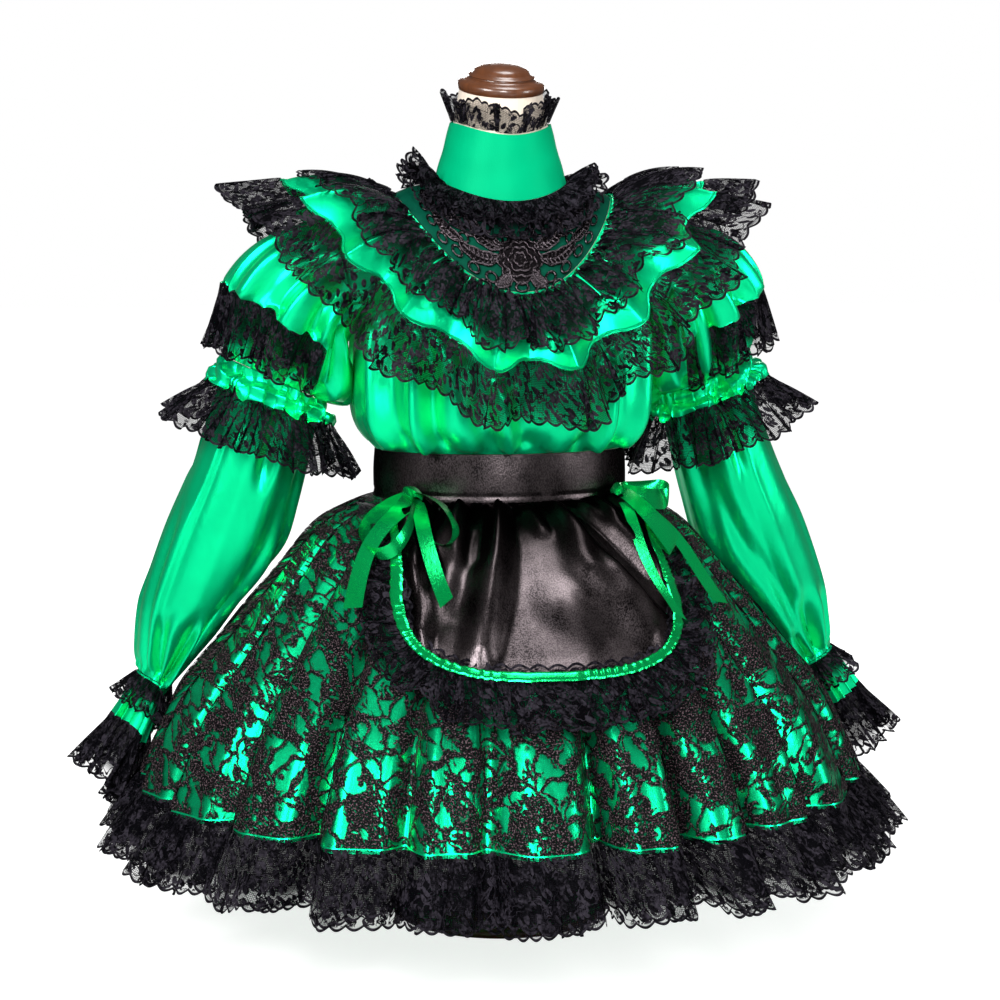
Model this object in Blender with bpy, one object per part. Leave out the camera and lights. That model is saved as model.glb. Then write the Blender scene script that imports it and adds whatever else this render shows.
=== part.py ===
"""Maid costume dress, filled out by a limbless dress form on a short turned stand.

Frame: metres, +Z up. The dress faces -Y and the origin is the middle of the stand's underside.
A bearing is an angle round the dress: 0 at the front centre, 90 degrees at +X, 180 at the back.
Every cloth piece is a wall built from rows of points that run down the piece.
"""

import math
from collections import namedtuple

import bmesh
import bpy
import numpy as np
from mathutils import Matrix, Vector

# Cloth walls and the gaps between pieces
SATIN = 0.0014
LACE = 0.0010
RIBBON = 0.0010
BAND_THICK = 0.0020
SEAM = 0.0006
LIE = 0.0008
STEP = 1e-4

# Levels above the floor
HEM_Z = 0.207
LACE_HEM_Z = 0.125
WAIST_LOW_Z = 0.600
WAIST_TOP_Z = 0.6655
WAIST_HALF_WIDTH = 0.177
WAIST_HALF_DEPTH = 0.1325
WAIST_SPREAD = 0.002
FORM_LOW_Z = 0.420

# Body cloth: one closed ring for each row, given at the side, the front and the back
Ring = namedtuple("Ring", "name side_x side_z front_y front_z back_y back_z square")
BODY = (
    Ring("neck seam", 0.092, 1.032, -0.085, 1.004, 0.078, 1.042, 2.0),
    Ring("mid yoke", 0.124, 1.026, -0.118, 0.950, 0.102, 0.995, 2.0),
    Ring("yoke seam", 0.152, 1.015, -0.143, 0.884, 0.120, 0.935, 2.1),
    Ring("shoulder end", 0.197, 0.988, -0.161, 0.835, 0.130, 0.885, 2.3),
    Ring("armhole middle", 0.206, 0.925, -0.168, 0.800, 0.134, 0.845, 2.4),
    Ring("underarm", 0.202, 0.850, -0.164, 0.765, 0.134, 0.800, 2.4),
    Ring("blousing", 0.206, 0.715, -0.160, 0.703, 0.142, 0.708, 2.3),
    Ring("waist seam", 0.177, 0.6665, -0.132, 0.6665, 0.127, 0.6665, 2.1),
)
YOKE_SEAM, SHOULDER_END, ARMHOLE_MIDDLE, UNDERARM, WAIST_SEAM = 2, 3, 4, 5, 7
BLOUSING = 6
BODICE_TOP = YOKE_SEAM + 0.004
BODICE_ROWS = (BODICE_TOP, SHOULDER_END, 3.35, ARMHOLE_MIDDLE, 4.65, UNDERARM, BLOUSING, WAIST_SEAM)
ARMHOLE_DEG = 27.0
SIDE_GAP_DEG = 0.18
BACK_GAP_DEG = 0.14

COLLAR_TOP = Ring("collar top", 0.070, 1.113, -0.074, 1.094, 0.062, 1.130, 2.0)
COLLAR_FRILL_TOP = Ring("collar frill", 0.082, 1.150, -0.086, 1.131, 0.074, 1.167, 2.0)
TOP_LACE_SHARE = 0.64
COLLAR_WAVES, NECK_WAVES, BERTHA_WAVES = 12, 10, 14
BERTHA_MID = Ring("flounce middle", 0.224, 1.033, -0.187, 0.838, 0.166, 0.888, 2.0)
BERTHA_HEM = Ring("flounce hem", 0.290, 1.020, -0.208, 0.784, 0.190, 0.830, 2.0)
BERTHA_LACE_HEM = Ring("flounce lace", 0.368, 1.004, -0.222, 0.706, 0.204, 0.752, 2.0)

# Dress form: how far it lies inside the body cloth at each of its rings
FORM_INSET = {0: 0.0015, 2: 0.0025, 3: 0.0070, 5: 0.014, 6: 0.026, 7: 0.008}
FORM_NECK_TOP_Y = -0.006
FORM_NECK_TOP_Z = 1.158
FORM_NECK_TOP_R = 0.0575
NECK_TILT_DEG = 15.0
NECK_IN_COLLAR = 0.93
HipRow = namedtuple("HipRow", "z half_width half_depth")
FORM_HIPS = (
    HipRow(0.610, 0.160, 0.116),
    HipRow(0.500, 0.183, 0.142),
    HipRow(FORM_LOW_Z, 0.176, 0.136),
)
BODY_COLUMNS = 32

# Skirt: a bell on elliptical rings, pleated deeper towards the hem
SkirtRow = namedtuple("SkirtRow", "z half_width half_depth fold")
SKIRT = (
    SkirtRow(WAIST_LOW_Z - 2 * SEAM, 0.178, 0.133, 0.0005),
    SkirtRow(0.563, 0.254, 0.214, 0.0080),
    SkirtRow(0.450, 0.350, 0.324, 0.0140),
    SkirtRow(0.325, 0.447, 0.430, 0.0200),
    SkirtRow(HEM_Z, 0.500, 0.485, 0.0240),
)
LACE_FLARE = 0.046
LACE_SWELL = 0.006
CREST = 0.74
Pleat = namedtuple("Pleat", "bearing depth")
PLEATS = (
    Pleat(-180, 0.8), Pleat(-161, 0.6), Pleat(-143, 0.9), Pleat(-125, 0.6), Pleat(-108, 0.8),
    Pleat(-91, 0.6), Pleat(-74, 0.8), Pleat(-58, 0.6), Pleat(-41, 0.9), Pleat(-26, 0.6),
    Pleat(-14, 0.5), Pleat(4, 1.2), Pleat(17, 1.1), Pleat(29, 0.9), Pleat(44, 0.7),
    Pleat(62, 0.8), Pleat(82, 0.6), Pleat(101, 0.8), Pleat(120, 0.6), Pleat(140, 0.8),
    Pleat(160, 0.6),
)
# Height of the cloth across one pleat, from one crease to the next
PleatPoint = namedtuple("PleatPoint", "share height")
PLEAT_PROFILE = (
    PleatPoint(0.00, -1.00), PleatPoint(0.13, 0.00), PleatPoint(0.37, 0.58), PleatPoint(0.63, 0.58),
    PleatPoint(0.87, 0.00), PleatPoint(1.00, -1.00),
)

# Sleeves: rings in planes that turn from the armhole to the wrist, for the +X side
SleeveRow = namedtuple("SleeveRow", "x y z dip_deg across deep")
UPPER_SLEEVE = (
    SleeveRow(0.234, 0.002, 0.904, 20, 0.074, 0.076),
    SleeveRow(0.270, 0.012, 0.880, 40, 0.086, 0.088),
    SleeveRow(0.291, 0.028, 0.838, 56, 0.093, 0.090),
    SleeveRow(0.302, 0.044, 0.793, 62, 0.088, 0.082),
    SleeveRow(0.312, 0.054, 0.762, 65, 0.068, 0.064),
)
LOWER_SLEEVE = (
    SleeveRow(0.3124, 0.0543, 0.7610, 65, 0.068, 0.064),
    SleeveRow(0.329, 0.062, 0.695, 68, 0.072, 0.068),
    SleeveRow(0.354, 0.072, 0.612, 69, 0.078, 0.071),
    SleeveRow(0.386, 0.086, 0.520, 69, 0.085, 0.074),
    SleeveRow(0.424, 0.100, 0.425, 68, 0.078, 0.066),
    SleeveRow(0.448, 0.108, 0.360, 68, 0.061, 0.053),
    SleeveRow(0.460, 0.112, 0.328, 67, 0.046, 0.042),
)
CUFF = (
    SleeveRow(0.46045, 0.1123, 0.3268, 67, 0.046, 0.042),
    SleeveRow(0.486, 0.120, 0.262, 66, 0.058, 0.051),
    SleeveRow(0.528, 0.130, 0.182, 65, 0.074, 0.062),
)
SLEEVE_COLUMNS = 16
CAP_WAVES, ELBOW_WAVES, CUFF_WAVES = 9, 7, 5
ELBOW_Z = 0.735
SWING = {"left": 0.13, "right": 0.0}
HANG_CLEARANCE = 0.009
HANG_SOFTNESS = 0.025

# Apron: laid over the skirt, measured sideways and down from the waist seam
APRON_TOP_HALF = 0.152
APRON_HALF = 0.176
APRON_SIDE = 0.190
APRON_LENGTH = 0.308
APRON_CORNER = 0.60
APRON_SHIFT = -0.005
APRON_TUCK = 0.004
APRON_LIFT = 0.0036
APRON_LACE_LOW = 0.080
APRON_LACE_SIDE = 0.040
APRON_LACE_WAVES = 10
RIBBON_WIDTH = 0.014
RIBBON_PUFF = 0.0030
RIBBON_LIE = 0.0022

# Bows: the ribbon's loops and tails, each turned from straight down towards the dress's side
BowStrip = namedtuple("BowStrip", "turn_deg length width")
BOW_LOOPS = {
    "left": (BowStrip(78, 0.096, 0.030), BowStrip(-41, 0.118, 0.032)),
    "right": (BowStrip(18, 0.112, 0.032), BowStrip(-52, 0.098, 0.032)),
}
BOW_TAILS = {
    "left": (BowStrip(-14, 0.225, 0.020), BowStrip(-40, 0.250, 0.020)),
    "right": (BowStrip(0, 0.222, 0.020), BowStrip(-34, 0.235, 0.020)),
}
BOW_BEARING = 46.0
BOW_DOWN = 0.016
BOW_LIFT = {"left": 0.0188, "right": 0.0198}
BOW_LOOP_RISE = 0.0085
BOW_KNOT = 0.0114
KnotRing = namedtuple("KnotRing", "down radius")
KNOT_RINGS = (
    KnotRing(-1.0, 0.45), KnotRing(-0.55, 0.9), KnotRing(0.0, 1.0), KnotRing(0.55, 0.9),
    KnotRing(1.0, 0.45),
)

# Front motif: a scalloped rose with leaves and rings beside it, laid flat on the yoke
Leaf = namedtuple("Leaf", "along up turn_deg length width")
Eyelet = namedtuple("Eyelet", "along up")
MOTIF_ROW = 1.36
MOTIF_RADIUS = 0.140
MOTIF_ROW_LENGTH = 0.066
MOTIF_THICK = 0.0016
ROSE_RADIUS = 0.024
ROSE_SCALLOP = 0.0030
EYELET_OUTER = 0.0110
EYELET_INNER = 0.0044
LEAVES = (
    Leaf(0.042, 0.014, 14, 0.052, 0.024), Leaf(0.044, -0.013, -10, 0.054, 0.022),
    Leaf(0.092, 0.014, 14, 0.046, 0.024), Leaf(0.090, -0.010, 2, 0.046, 0.020),
    Leaf(0.132, 0.010, 12, 0.050, 0.022), Leaf(0.018, -0.028, -62, 0.030, 0.018),
)
EYELETS = (Eyelet(0.067, 0.000), Eyelet(0.110, -0.001))

# Back closure: covered buttons beside the centre back opening
BUTTON_ROWS = (4.1, 4.9, 5.6, 6.3)
BUTTON_DEG = 176.6
BUTTON_RADIUS = 0.0060
BUTTON_THICK = 0.0040
BUTTON_LIE = 0.0002

# Stand and neck cap: radius and height of each turned edge
Turned = namedtuple("Turned", "radius z")
BASE_PROFILE = (
    Turned(0.150, 0.0), Turned(0.154, 0.006), Turned(0.150, 0.014), Turned(0.132, 0.018),
    Turned(0.122, 0.026), Turned(0.040, 0.034), Turned(0.026, 0.060),
)
POLE_RADIUS = 0.0160
CAP_PROFILE = (
    Turned(0.0585, 0.0), Turned(0.0600, 0.006), Turned(0.0575, 0.0125), Turned(0.0450, 0.0175),
    Turned(0.0400, 0.0225), Turned(0.0330, 0.0300), Turned(0.0200, 0.0350), Turned(0.0100, 0.0365),
)
FACE_GAP = 0.0003

Finish = namedtuple("Finish", "name colour roughness metallic")
GREEN_SATIN = Finish("green_satin", (0.0, 0.56, 0.25), 0.32, 0.0)
BLACK_SATIN = Finish("black_satin", (0.016, 0.013, 0.017), 0.36, 0.0)
BLACK_LACE = Finish("black_lace", (0.020, 0.017, 0.022), 0.80, 0.0)
GREEN_RIBBON = Finish("green_ribbon", (0.02, 0.52, 0.08), 0.22, 0.0)
FORM_LINEN = Finish("form_linen", (0.85, 0.76, 0.66), 0.90, 0.0)
TURNED_WOOD = Finish("turned_wood", (0.13, 0.050, 0.020), 0.35, 0.0)


def clear_scene():
    for obj in list(bpy.data.objects):
        bpy.data.objects.remove(obj, do_unlink=True)


def material(finish):
    found = bpy.data.materials.get(finish.name)
    if found:
        return found
    made = bpy.data.materials.new(finish.name)
    made.use_nodes = True
    shader = made.node_tree.nodes["Principled BSDF"]
    shader.inputs["Base Color"].default_value = (*finish.colour, 1.0)
    shader.inputs["Roughness"].default_value = finish.roughness
    shader.inputs["Metallic"].default_value = finish.metallic
    return made


def new_object(name, shape, finish):
    """Turns a bmesh into a named object, with its faces pointing out."""
    bmesh.ops.recalc_face_normals(shape, faces=shape.faces)
    if shape.calc_volume(signed=True) < 0:
        bmesh.ops.reverse_faces(shape, faces=shape.faces)
    mesh = bpy.data.meshes.new(name)
    shape.to_mesh(mesh)
    shape.free()
    mesh.shade_smooth()
    mesh.set_sharp_from_angle(angle=math.radians(50))
    obj = bpy.data.objects.new(name, mesh)
    bpy.context.scene.collection.objects.link(obj)
    mesh.materials.append(material(finish))
    return obj


def grid_normals(grid, closed):
    """The outward direction at each point of a grid whose rows run down the piece."""
    down = np.gradient(grid, axis=0)
    if closed:
        along = np.roll(grid, -1, axis=1) - np.roll(grid, 1, axis=1)
    else:
        along = np.gradient(grid, axis=1)
    normals = np.cross(down, along)
    return normals / np.maximum(np.linalg.norm(normals, axis=2, keepdims=True), 1e-12)


def wall(name, grid, thickness, finish, closed=False):
    """A closed wall of that thickness about a grid of points, rows by columns."""
    normals = grid_normals(grid, closed)
    rows, columns = grid.shape[:2]
    shape = bmesh.new()
    layers = []
    for half in (thickness / 2, -thickness / 2):
        points = grid + normals * half
        layers.append([[shape.verts.new(p) for p in row] for row in points])
    outer, inner = layers
    last = columns if closed else columns - 1
    for i in range(rows - 1):
        for j in range(last):
            k = (j + 1) % columns
            shape.faces.new((outer[i][j], outer[i + 1][j], outer[i + 1][k], outer[i][k]))
            shape.faces.new((inner[i][j], inner[i][k], inner[i + 1][k], inner[i + 1][j]))
    for j in range(last):
        k = (j + 1) % columns
        shape.faces.new((outer[0][k], inner[0][k], inner[0][j], outer[0][j]))
        shape.faces.new((outer[-1][j], inner[-1][j], inner[-1][k], outer[-1][k]))
    if not closed:
        for i in range(rows - 1):
            shape.faces.new((outer[i][0], inner[i][0], inner[i + 1][0], outer[i + 1][0]))
            shape.faces.new((outer[i + 1][-1], inner[i + 1][-1], inner[i][-1], outer[i][-1]))
    return new_object(name, shape, finish)


def solid_of_rings(name, rings, finish):
    """A closed solid through rings of points, with its first and last ring capped."""
    shape = bmesh.new()
    loops = [[shape.verts.new(p) for p in ring] for ring in rings]
    count = len(loops[0])
    for upper, lower in zip(loops, loops[1:]):
        for j in range(count):
            k = (j + 1) % count
            shape.faces.new((upper[j], lower[j], lower[k], upper[k]))
    shape.faces.new(loops[0])
    shape.faces.new(loops[-1][::-1])
    return new_object(name, shape, finish)


def turned(name, profile, segments, finish, place=Matrix.Identity(4)):
    """A turned solid from the radius and height of each of its edges."""
    rings = []
    for edge in profile:
        radius = edge.radius
        ring = [(radius * math.sin(a), -radius * math.cos(a), edge.z) for a in turns_of(segments)]
        rings.append([place @ Vector(p) for p in ring])
    return solid_of_rings(name, rings, finish)


def signed_power(value, power):
    return math.copysign(abs(value) ** power, value)


def ring_point(ring, bearing):
    """A point of a ring at a bearing in degrees. The ring dips from its side to its front and back."""
    s, c = math.sin(math.radians(bearing)), math.cos(math.radians(bearing))
    power = 2 / ring.square
    y, low_z = (ring.front_y, ring.front_z) if c > 0 else (ring.back_y, ring.back_z)
    z = ring.side_z * s * s + low_z * c * c
    return np.array((ring.side_x * signed_power(s, power), y * abs(c) ** power, z))


def between(rows, t, make):
    """make(row) carried smoothly through a table of rows, at row number t."""
    i = min(max(int(math.floor(t)), 0), len(rows) - 2)
    f = t - i
    a, b = make(rows[i]), make(rows[i + 1])
    before = make(rows[i - 1]) if i > 0 else 2 * a - b
    after = make(rows[i + 2]) if i + 2 < len(rows) else 2 * b - a
    slope_a, slope_b = (b - before) / 2, (after - a) / 2
    f2, f3 = f * f, f * f * f
    rise = 3 * f2 - 2 * f3
    return (1 - rise) * a + rise * b + (f3 - 2 * f2 + f) * slope_a + (f3 - f2) * slope_b


def body_point(t, bearing):
    return between(BODY, t, lambda ring: ring_point(ring, bearing))


def lifted(surface, t, turn, lift, turn_step=0.05):
    """A point of a surface moved out from it by lift."""
    down = surface(t + STEP, turn) - surface(t - STEP, turn)
    along = surface(t, turn + turn_step) - surface(t, turn - turn_step)
    normal = np.cross(down, along)
    return surface(t, turn) + normal / np.linalg.norm(normal) * lift


def turns_of(count):
    return [2 * math.pi * k / count for k in range(count)]


def grid_of(point, rows, columns):
    return np.array([[point(r, c) for c in columns] for r in rows])


def waves(share, count, seed):
    """Uneven ruffle waves from -1 to 1, at a share of the way round."""
    slow = 0.10 * math.sin(2 * math.pi * (2 * share + seed))
    quick = 0.06 * math.sin(2 * math.pi * (5 * share + 2 * seed))
    return math.cos(2 * math.pi * (count * share + slow + quick + seed))


def outwards(bearing):
    """The level direction out from the dress's axis at a bearing."""
    return np.array((math.sin(math.radians(bearing)), -math.cos(math.radians(bearing)), 0))


def round_bearings(count):
    """Bearings from one side of the back opening to the other."""
    return np.linspace(-180 + BACK_GAP_DEG, 180 - BACK_GAP_DEG, count)


def body_bearings():
    """The body cloth's columns, which the dress form shares."""
    inner = [-180 + 360 * k / BODY_COLUMNS for k in range(1, BODY_COLUMNS)]
    return [-180 + BACK_GAP_DEG, *inner, 180 - BACK_GAP_DEG]


def make_stand():
    turned("stand_base", BASE_PROFILE, 28, TURNED_WOOD)
    low, high = BASE_PROFILE[-1].z + FACE_GAP, FORM_LOW_Z - FACE_GAP
    turned("stand_pole", (Turned(POLE_RADIUS, low), Turned(POLE_RADIUS, high)), 16, TURNED_WOOD)


def neck_frame():
    """The place of the neck's tilted top."""
    middle = Matrix.Translation((0, FORM_NECK_TOP_Y, FORM_NECK_TOP_Z))
    return middle @ Matrix.Rotation(math.radians(NECK_TILT_DEG), 4, "X")


def make_form():
    """The limbless torso: neck, shoulders, waist and hips in one smooth solid."""
    bearings = [-180 + 360 * k / BODY_COLUMNS for k in range(BODY_COLUMNS)]
    radians = [math.radians(b) for b in bearings]
    frame = neck_frame()
    top = [Vector((math.sin(a), -math.cos(a), 0)) * FORM_NECK_TOP_R for a in radians]
    rise = np.array((0, 0, (1 - NECK_IN_COLLAR) * COLLAR_TOP.side_z))
    neck = [NECK_IN_COLLAR * ring_point(COLLAR_TOP, b) + rise for b in bearings]
    rings = [[frame @ point for point in top], neck]
    for t, inset in FORM_INSET.items():
        rings.append([lifted(body_point, t, b, -inset) for b in bearings])
    for row in FORM_HIPS:
        width, depth = row.half_width, row.half_depth
        rings.append([(width * math.sin(a), -depth * math.cos(a), row.z) for a in radians])
    solid_of_rings("form_torso", rings, FORM_LINEN)
    cap_frame = frame @ Matrix.Translation((0, 0, FACE_GAP))
    turned("neck_cap", CAP_PROFILE, 20, TURNED_WOOD, cap_frame)


def armhole_half(t):
    """Half the armhole's width, in degrees of bearing, at a body row."""
    return ARMHOLE_DEG * math.sqrt(max(0.0, 1 - (t - ARMHOLE_MIDDLE) ** 2))


def bodice_panel(t, bearing):
    """A point of the bodice's flat facets, which run straight from one of its rows to the next."""
    k = min(int(np.searchsorted(BODICE_ROWS, t)), len(BODICE_ROWS) - 1)
    above, below = BODICE_ROWS[k - 1], BODICE_ROWS[k]
    share = (t - above) / (below - above)
    return (1 - share) * body_point(above, bearing) + share * body_point(below, bearing)


def make_body():
    bearings = body_bearings()
    yoke_rows = (0.0, 1.0, YOKE_SEAM - 0.008)
    wall("yoke", grid_of(body_point, yoke_rows, bearings), SATIN, GREEN_SATIN)

    def front(t, share):
        return body_point(t, share * (90 - SIDE_GAP_DEG - armhole_half(t)))

    shares = np.linspace(-1, 1, BODY_COLUMNS // 2 + 1)
    wall("bodice_front", grid_of(front, BODICE_ROWS, shares), SATIN, GREEN_SATIN)
    for side, name in ((1, "bodice_back_left"), (-1, "bodice_back_right")):

        def back(t, share, side=side):
            first = 90 + SIDE_GAP_DEG + armhole_half(t)
            last = 180 - BACK_GAP_DEG
            return body_point(t, side * (first + share * (last - first)))

        shares = np.linspace(0, 1, BODY_COLUMNS // 4 + 1)[::side]
        wall(name, grid_of(back, BODICE_ROWS, shares), SATIN, GREEN_SATIN)


def collar_point(t, bearing):
    """The stand collar: t runs from 0 at its top to 1 at the neck seam."""
    rise = np.array((0, 0, SATIN / 2 + SEAM))
    return (1 - t) * ring_point(COLLAR_TOP, bearing) + t * (ring_point(BODY[0], bearing) + rise)


def make_collar():
    bearings = body_bearings()
    wall("collar", grid_of(collar_point, (0.0, 1.0), bearings), SATIN, GREEN_SATIN)

    def frill(t, bearing):
        share = bearing / 360 + 0.5
        top, base = ring_point(COLLAR_FRILL_TOP, bearing), collar_point(0, bearing)
        base = base + np.array((0, 0, 2 * SEAM))
        swell = 0.0045 * (1 - t) * waves(share, COLLAR_WAVES, 0.15)
        return t * base + (1 - t) * top + outwards(bearing) * swell

    bearings = round_bearings(COLLAR_WAVES * 4 + 1)
    wall("collar_frill", grid_of(frill, (0.0, 1.0), bearings), LACE, BLACK_LACE)

    def neck_frill(t, bearing):
        share = bearing / 360 + 0.5
        lift = SATIN / 2 + LACE / 2 + LIE + t * (0.0085 + 0.0035 * waves(share, NECK_WAVES, 0.4))
        return lifted(body_point, 0.05 + 0.72 * t, bearing, lift)

    bearings = round_bearings(NECK_WAVES * 5 + 1)
    wall("neck_frill", grid_of(neck_frill, (0.0, 1.0), bearings), LACE, BLACK_LACE)


def bertha_base(t, bearing):
    """The flounce without its waves: t is 0 at the yoke seam and 1 at its hem."""
    root = lifted(body_point, YOKE_SEAM + 0.06, bearing, SATIN + LIE)
    mid, hem = ring_point(BERTHA_MID, bearing), ring_point(BERTHA_HEM, bearing)
    return (1 - t) * (1 - 2 * t) * root + 4 * t * (1 - t) * mid + t * (2 * t - 1) * hem


def bertha_point(t, bearing):
    swell = 0.013 * t * waves(bearing / 360 + 0.5, BERTHA_WAVES, 0.2)
    return lifted(bertha_base, t, bearing, swell)


def make_bertha():
    """The flounce round the yoke: satin, the lace laid on its top half and the lace along its hem."""
    bearings = round_bearings(BERTHA_WAVES * 4 + 1)
    wall("bertha_flounce", grid_of(bertha_point, (0.0, 0.5, 1.0), bearings), SATIN, GREEN_SATIN)

    def top_lace(t, bearing):
        share = bearing / 360 + 0.5
        lift = SATIN / 2 + LACE / 2 + LIE + t * (0.008 + 0.0065 * waves(share, BERTHA_WAVES, 0.65))
        return lifted(bertha_point, TOP_LACE_SHARE * t, bearing, lift)

    wall("bertha_top_lace", grid_of(top_lace, (0.03, 0.5, 1.0), bearings), LACE, BLACK_LACE)

    def hem_lace(t, bearing):
        share = bearing / 360 + 0.5
        root, hem = bertha_point(1.0, bearing), ring_point(BERTHA_LACE_HEM, bearing)
        out = hem - ring_point(BERTHA_MID, bearing)
        across = np.cross(out, outwards(bearing + 90))
        across = across / np.linalg.norm(across)
        hem = hem + across * 0.015 * waves(share, BERTHA_WAVES, 0.2)
        start = root + (hem - root) / np.linalg.norm(hem - root) * (SEAM + 0.0002)
        return (1 - t) * start + t * hem

    wall("bertha_hem_lace", grid_of(hem_lace, (0.0, 1.0), bearings), LACE, BLACK_LACE)


def pleat_height(bearing):
    """The pleats' height at a bearing, and the depth of the pleat that it belongs to."""
    for pleat, after in zip(PLEATS, PLEATS[1:] + PLEATS[:1]):
        span = (after.bearing - pleat.bearing) % 360
        share = ((bearing - pleat.bearing) % 360) / span
        if share < 1:
            height = np.interp(share, *zip(*PLEAT_PROFILE))
            return float(height) * ((1 - share) * pleat.depth + share * after.depth)
    return 0.0


def pleat_bearings(first, last):
    """The skirt's columns between two bearings: the same few places on every pleat."""
    found = []
    for pleat, after in zip(PLEATS, PLEATS[1:] + PLEATS[:1]):
        span = (after.bearing - pleat.bearing) % 360
        places = [pleat.bearing + point.share * span for point in PLEAT_PROFILE[:-1]]
        found += places + [place + 360 for place in places]
    inside = [b for b in sorted(found) if first + 1.0 < b < last - 1.0]
    return [first, *inside, last]


def skirt_row(t):
    return between(SKIRT, t, lambda row: np.array(row))


def skirt_point(t, bearing):
    z, half_width, half_depth, fold = skirt_row(t)
    grow = fold * pleat_height(bearing)
    return outwards(bearing) * (half_width + grow, half_depth + grow, 0) + np.array((0, 0, z))


def hem_lace_point(t, bearing):
    """The lace below the hem: t is 0 at the hem and 1 at the lace's edge."""
    hem = skirt_point(len(SKIRT) - 1, bearing)
    swell = LACE_SWELL * math.sin(len(PLEATS) * math.radians(bearing) + 0.6)
    edge = hem + outwards(bearing) * (LACE_FLARE + swell) + np.array((0, 0, LACE_HEM_Z - HEM_Z))
    return (1 - t) * (hem - np.array((0, 0, SEAM))) + t * edge


def make_skirt():
    """The skirt's front and back halves, which meet at its side seams, and the lace at its hem."""
    rows = tuple(range(len(SKIRT)))
    for name, middle in (("front", 0), ("back", 180)):
        half = 90 - SIDE_GAP_DEG / 2
        bearings = pleat_bearings(middle - half, middle + half)
        wall(f"skirt_{name}", grid_of(skirt_point, rows, bearings), SATIN, GREEN_SATIN)
        lace = grid_of(hem_lace_point, (0.0, 1.0), bearings)
        wall(f"hem_lace_{name}", lace, LACE, BLACK_LACE)


def make_waistband():
    """The waistband, open at the back, which widens a little downwards."""

    def band(t, bearing):
        grow = WAIST_SPREAD * t
        z = WAIST_TOP_Z - t * (WAIST_TOP_Z - WAIST_LOW_Z)
        level = outwards(bearing) * (WAIST_HALF_WIDTH + grow, WAIST_HALF_DEPTH + grow, 0)
        return level + np.array((0, 0, z))

    wall("waistband", grid_of(band, (0.0, 1.0), body_bearings()), BAND_THICK, BLACK_SATIN)


def skirt_row_at(down):
    """The skirt's row number at a length down its front from the waist seam."""
    steps = np.linspace(0, len(SKIRT) - 1, 41)
    rows = np.array([skirt_row(t) for t in steps])
    lengths = np.concatenate(([0], np.cumsum(np.hypot(np.diff(rows[:, 0]), np.diff(rows[:, 2])))))
    return float(np.interp(down, lengths, steps))


def crest_point(t, bearing):
    """A point of the bell that runs over the pleats' crests."""
    z, half_width, half_depth, fold = skirt_row(t)
    grow = CREST * fold
    return outwards(bearing) * (half_width + grow, half_depth + grow, 0) + np.array((0, 0, z))


def over_skirt(along, down, lift):
    """A point over the crests: along to the left of the front centre, down from the waist seam."""
    t = skirt_row_at(down)
    s = (along + APRON_SHIFT) / skirt_row(t)[1]
    return lifted(crest_point, t, math.degrees(math.asin(min(max(s, -0.98), 0.98))), lift)


def apron_edge(s):
    """The apron's edge from its right top corner at s = -1, round the bottom, to its left one at 1."""
    side, s = math.copysign(1, s), abs(s)
    if s > APRON_CORNER:
        up = (s - APRON_CORNER) / (1 - APRON_CORNER)
        half = APRON_HALF + up * (APRON_TOP_HALF - APRON_HALF)
        return np.array((side * half, APRON_SIDE + up * (APRON_TUCK - APRON_SIDE)))
    a = s / APRON_CORNER * math.pi / 2
    along, down = math.sin(a) ** 0.75, max(math.cos(a), 0) ** 0.75
    return np.array((side * APRON_HALF * along, APRON_SIDE + (APRON_LENGTH - APRON_SIDE) * down))


def beside_apron(s, distance):
    """A flat point at that distance outside the apron's edge."""
    tangent = apron_edge(min(s + 0.02, 1)) - apron_edge(max(s - 0.02, -1))
    tangent = tangent / np.linalg.norm(tangent)
    return apron_edge(s) + np.array((-tangent[1], tangent[0])) * distance


def make_apron():
    """The apron, the gathered lace outside its edge and the ruched ribbon over the edge."""
    side = 0.80

    def panel(r, u):
        top = np.array((APRON_TOP_HALF * u, APRON_TUCK))
        along, down = (1 - r) * top + r * apron_edge(side * u)
        return over_skirt(along, down, APRON_LIFT)

    rows = (0, 0.10, 0.24, 0.45, 0.70, 1)
    wall("apron", grid_of(panel, rows, np.linspace(-1, 1, 15)), SATIN, BLACK_SATIN)

    def lace(t, s):
        wave = waves(s / 2, APRON_LACE_WAVES, 0.3)
        low = math.cos(min(abs(s) / 0.75, 1) * math.pi / 2) ** 2
        width = APRON_LACE_SIDE + low * (APRON_LACE_LOW - APRON_LACE_SIDE)
        along, down = beside_apron(s, 2 * SEAM + t * width)
        free = min(1, (1 - abs(s)) / 0.4)
        return over_skirt(along, down, APRON_LIFT + t * (0.003 + free * (0.008 + 0.006 * wave)))

    ends = np.linspace(-0.95, 0.95, APRON_LACE_WAVES * 4 + 1)
    wall("apron_lace", grid_of(lace, (0.0, 0.5, 1.0), ends), LACE, BLACK_LACE)

    def ribbon(t, s):
        along, down = beside_apron(s, (t - 0.5) * RIBBON_WIDTH)
        puff = RIBBON_PUFF * (1 - abs(2 * t - 1))
        return over_skirt(along, down, APRON_LIFT + SATIN / 2 + RIBBON / 2 + RIBBON_LIE + puff)

    ends = np.linspace(-0.95, 0.95, 37)
    wall("apron_ribbon", grid_of(ribbon, (0.0, 0.5, 1.0), ends), RIBBON, GREEN_RIBBON)


def union(name, parts):
    """Joins closed parts that overlap into the first one."""
    body = parts[0]
    body.name = name
    for k, part in enumerate(parts[1:]):
        part.name = f"{name}_part_{k}"
        part.hide_render = True
        part.display_type = "WIRE"
        joined = body.modifiers.new(part.name, "BOOLEAN")
        joined.operation = "UNION"
        joined.object = part
    return body


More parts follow.
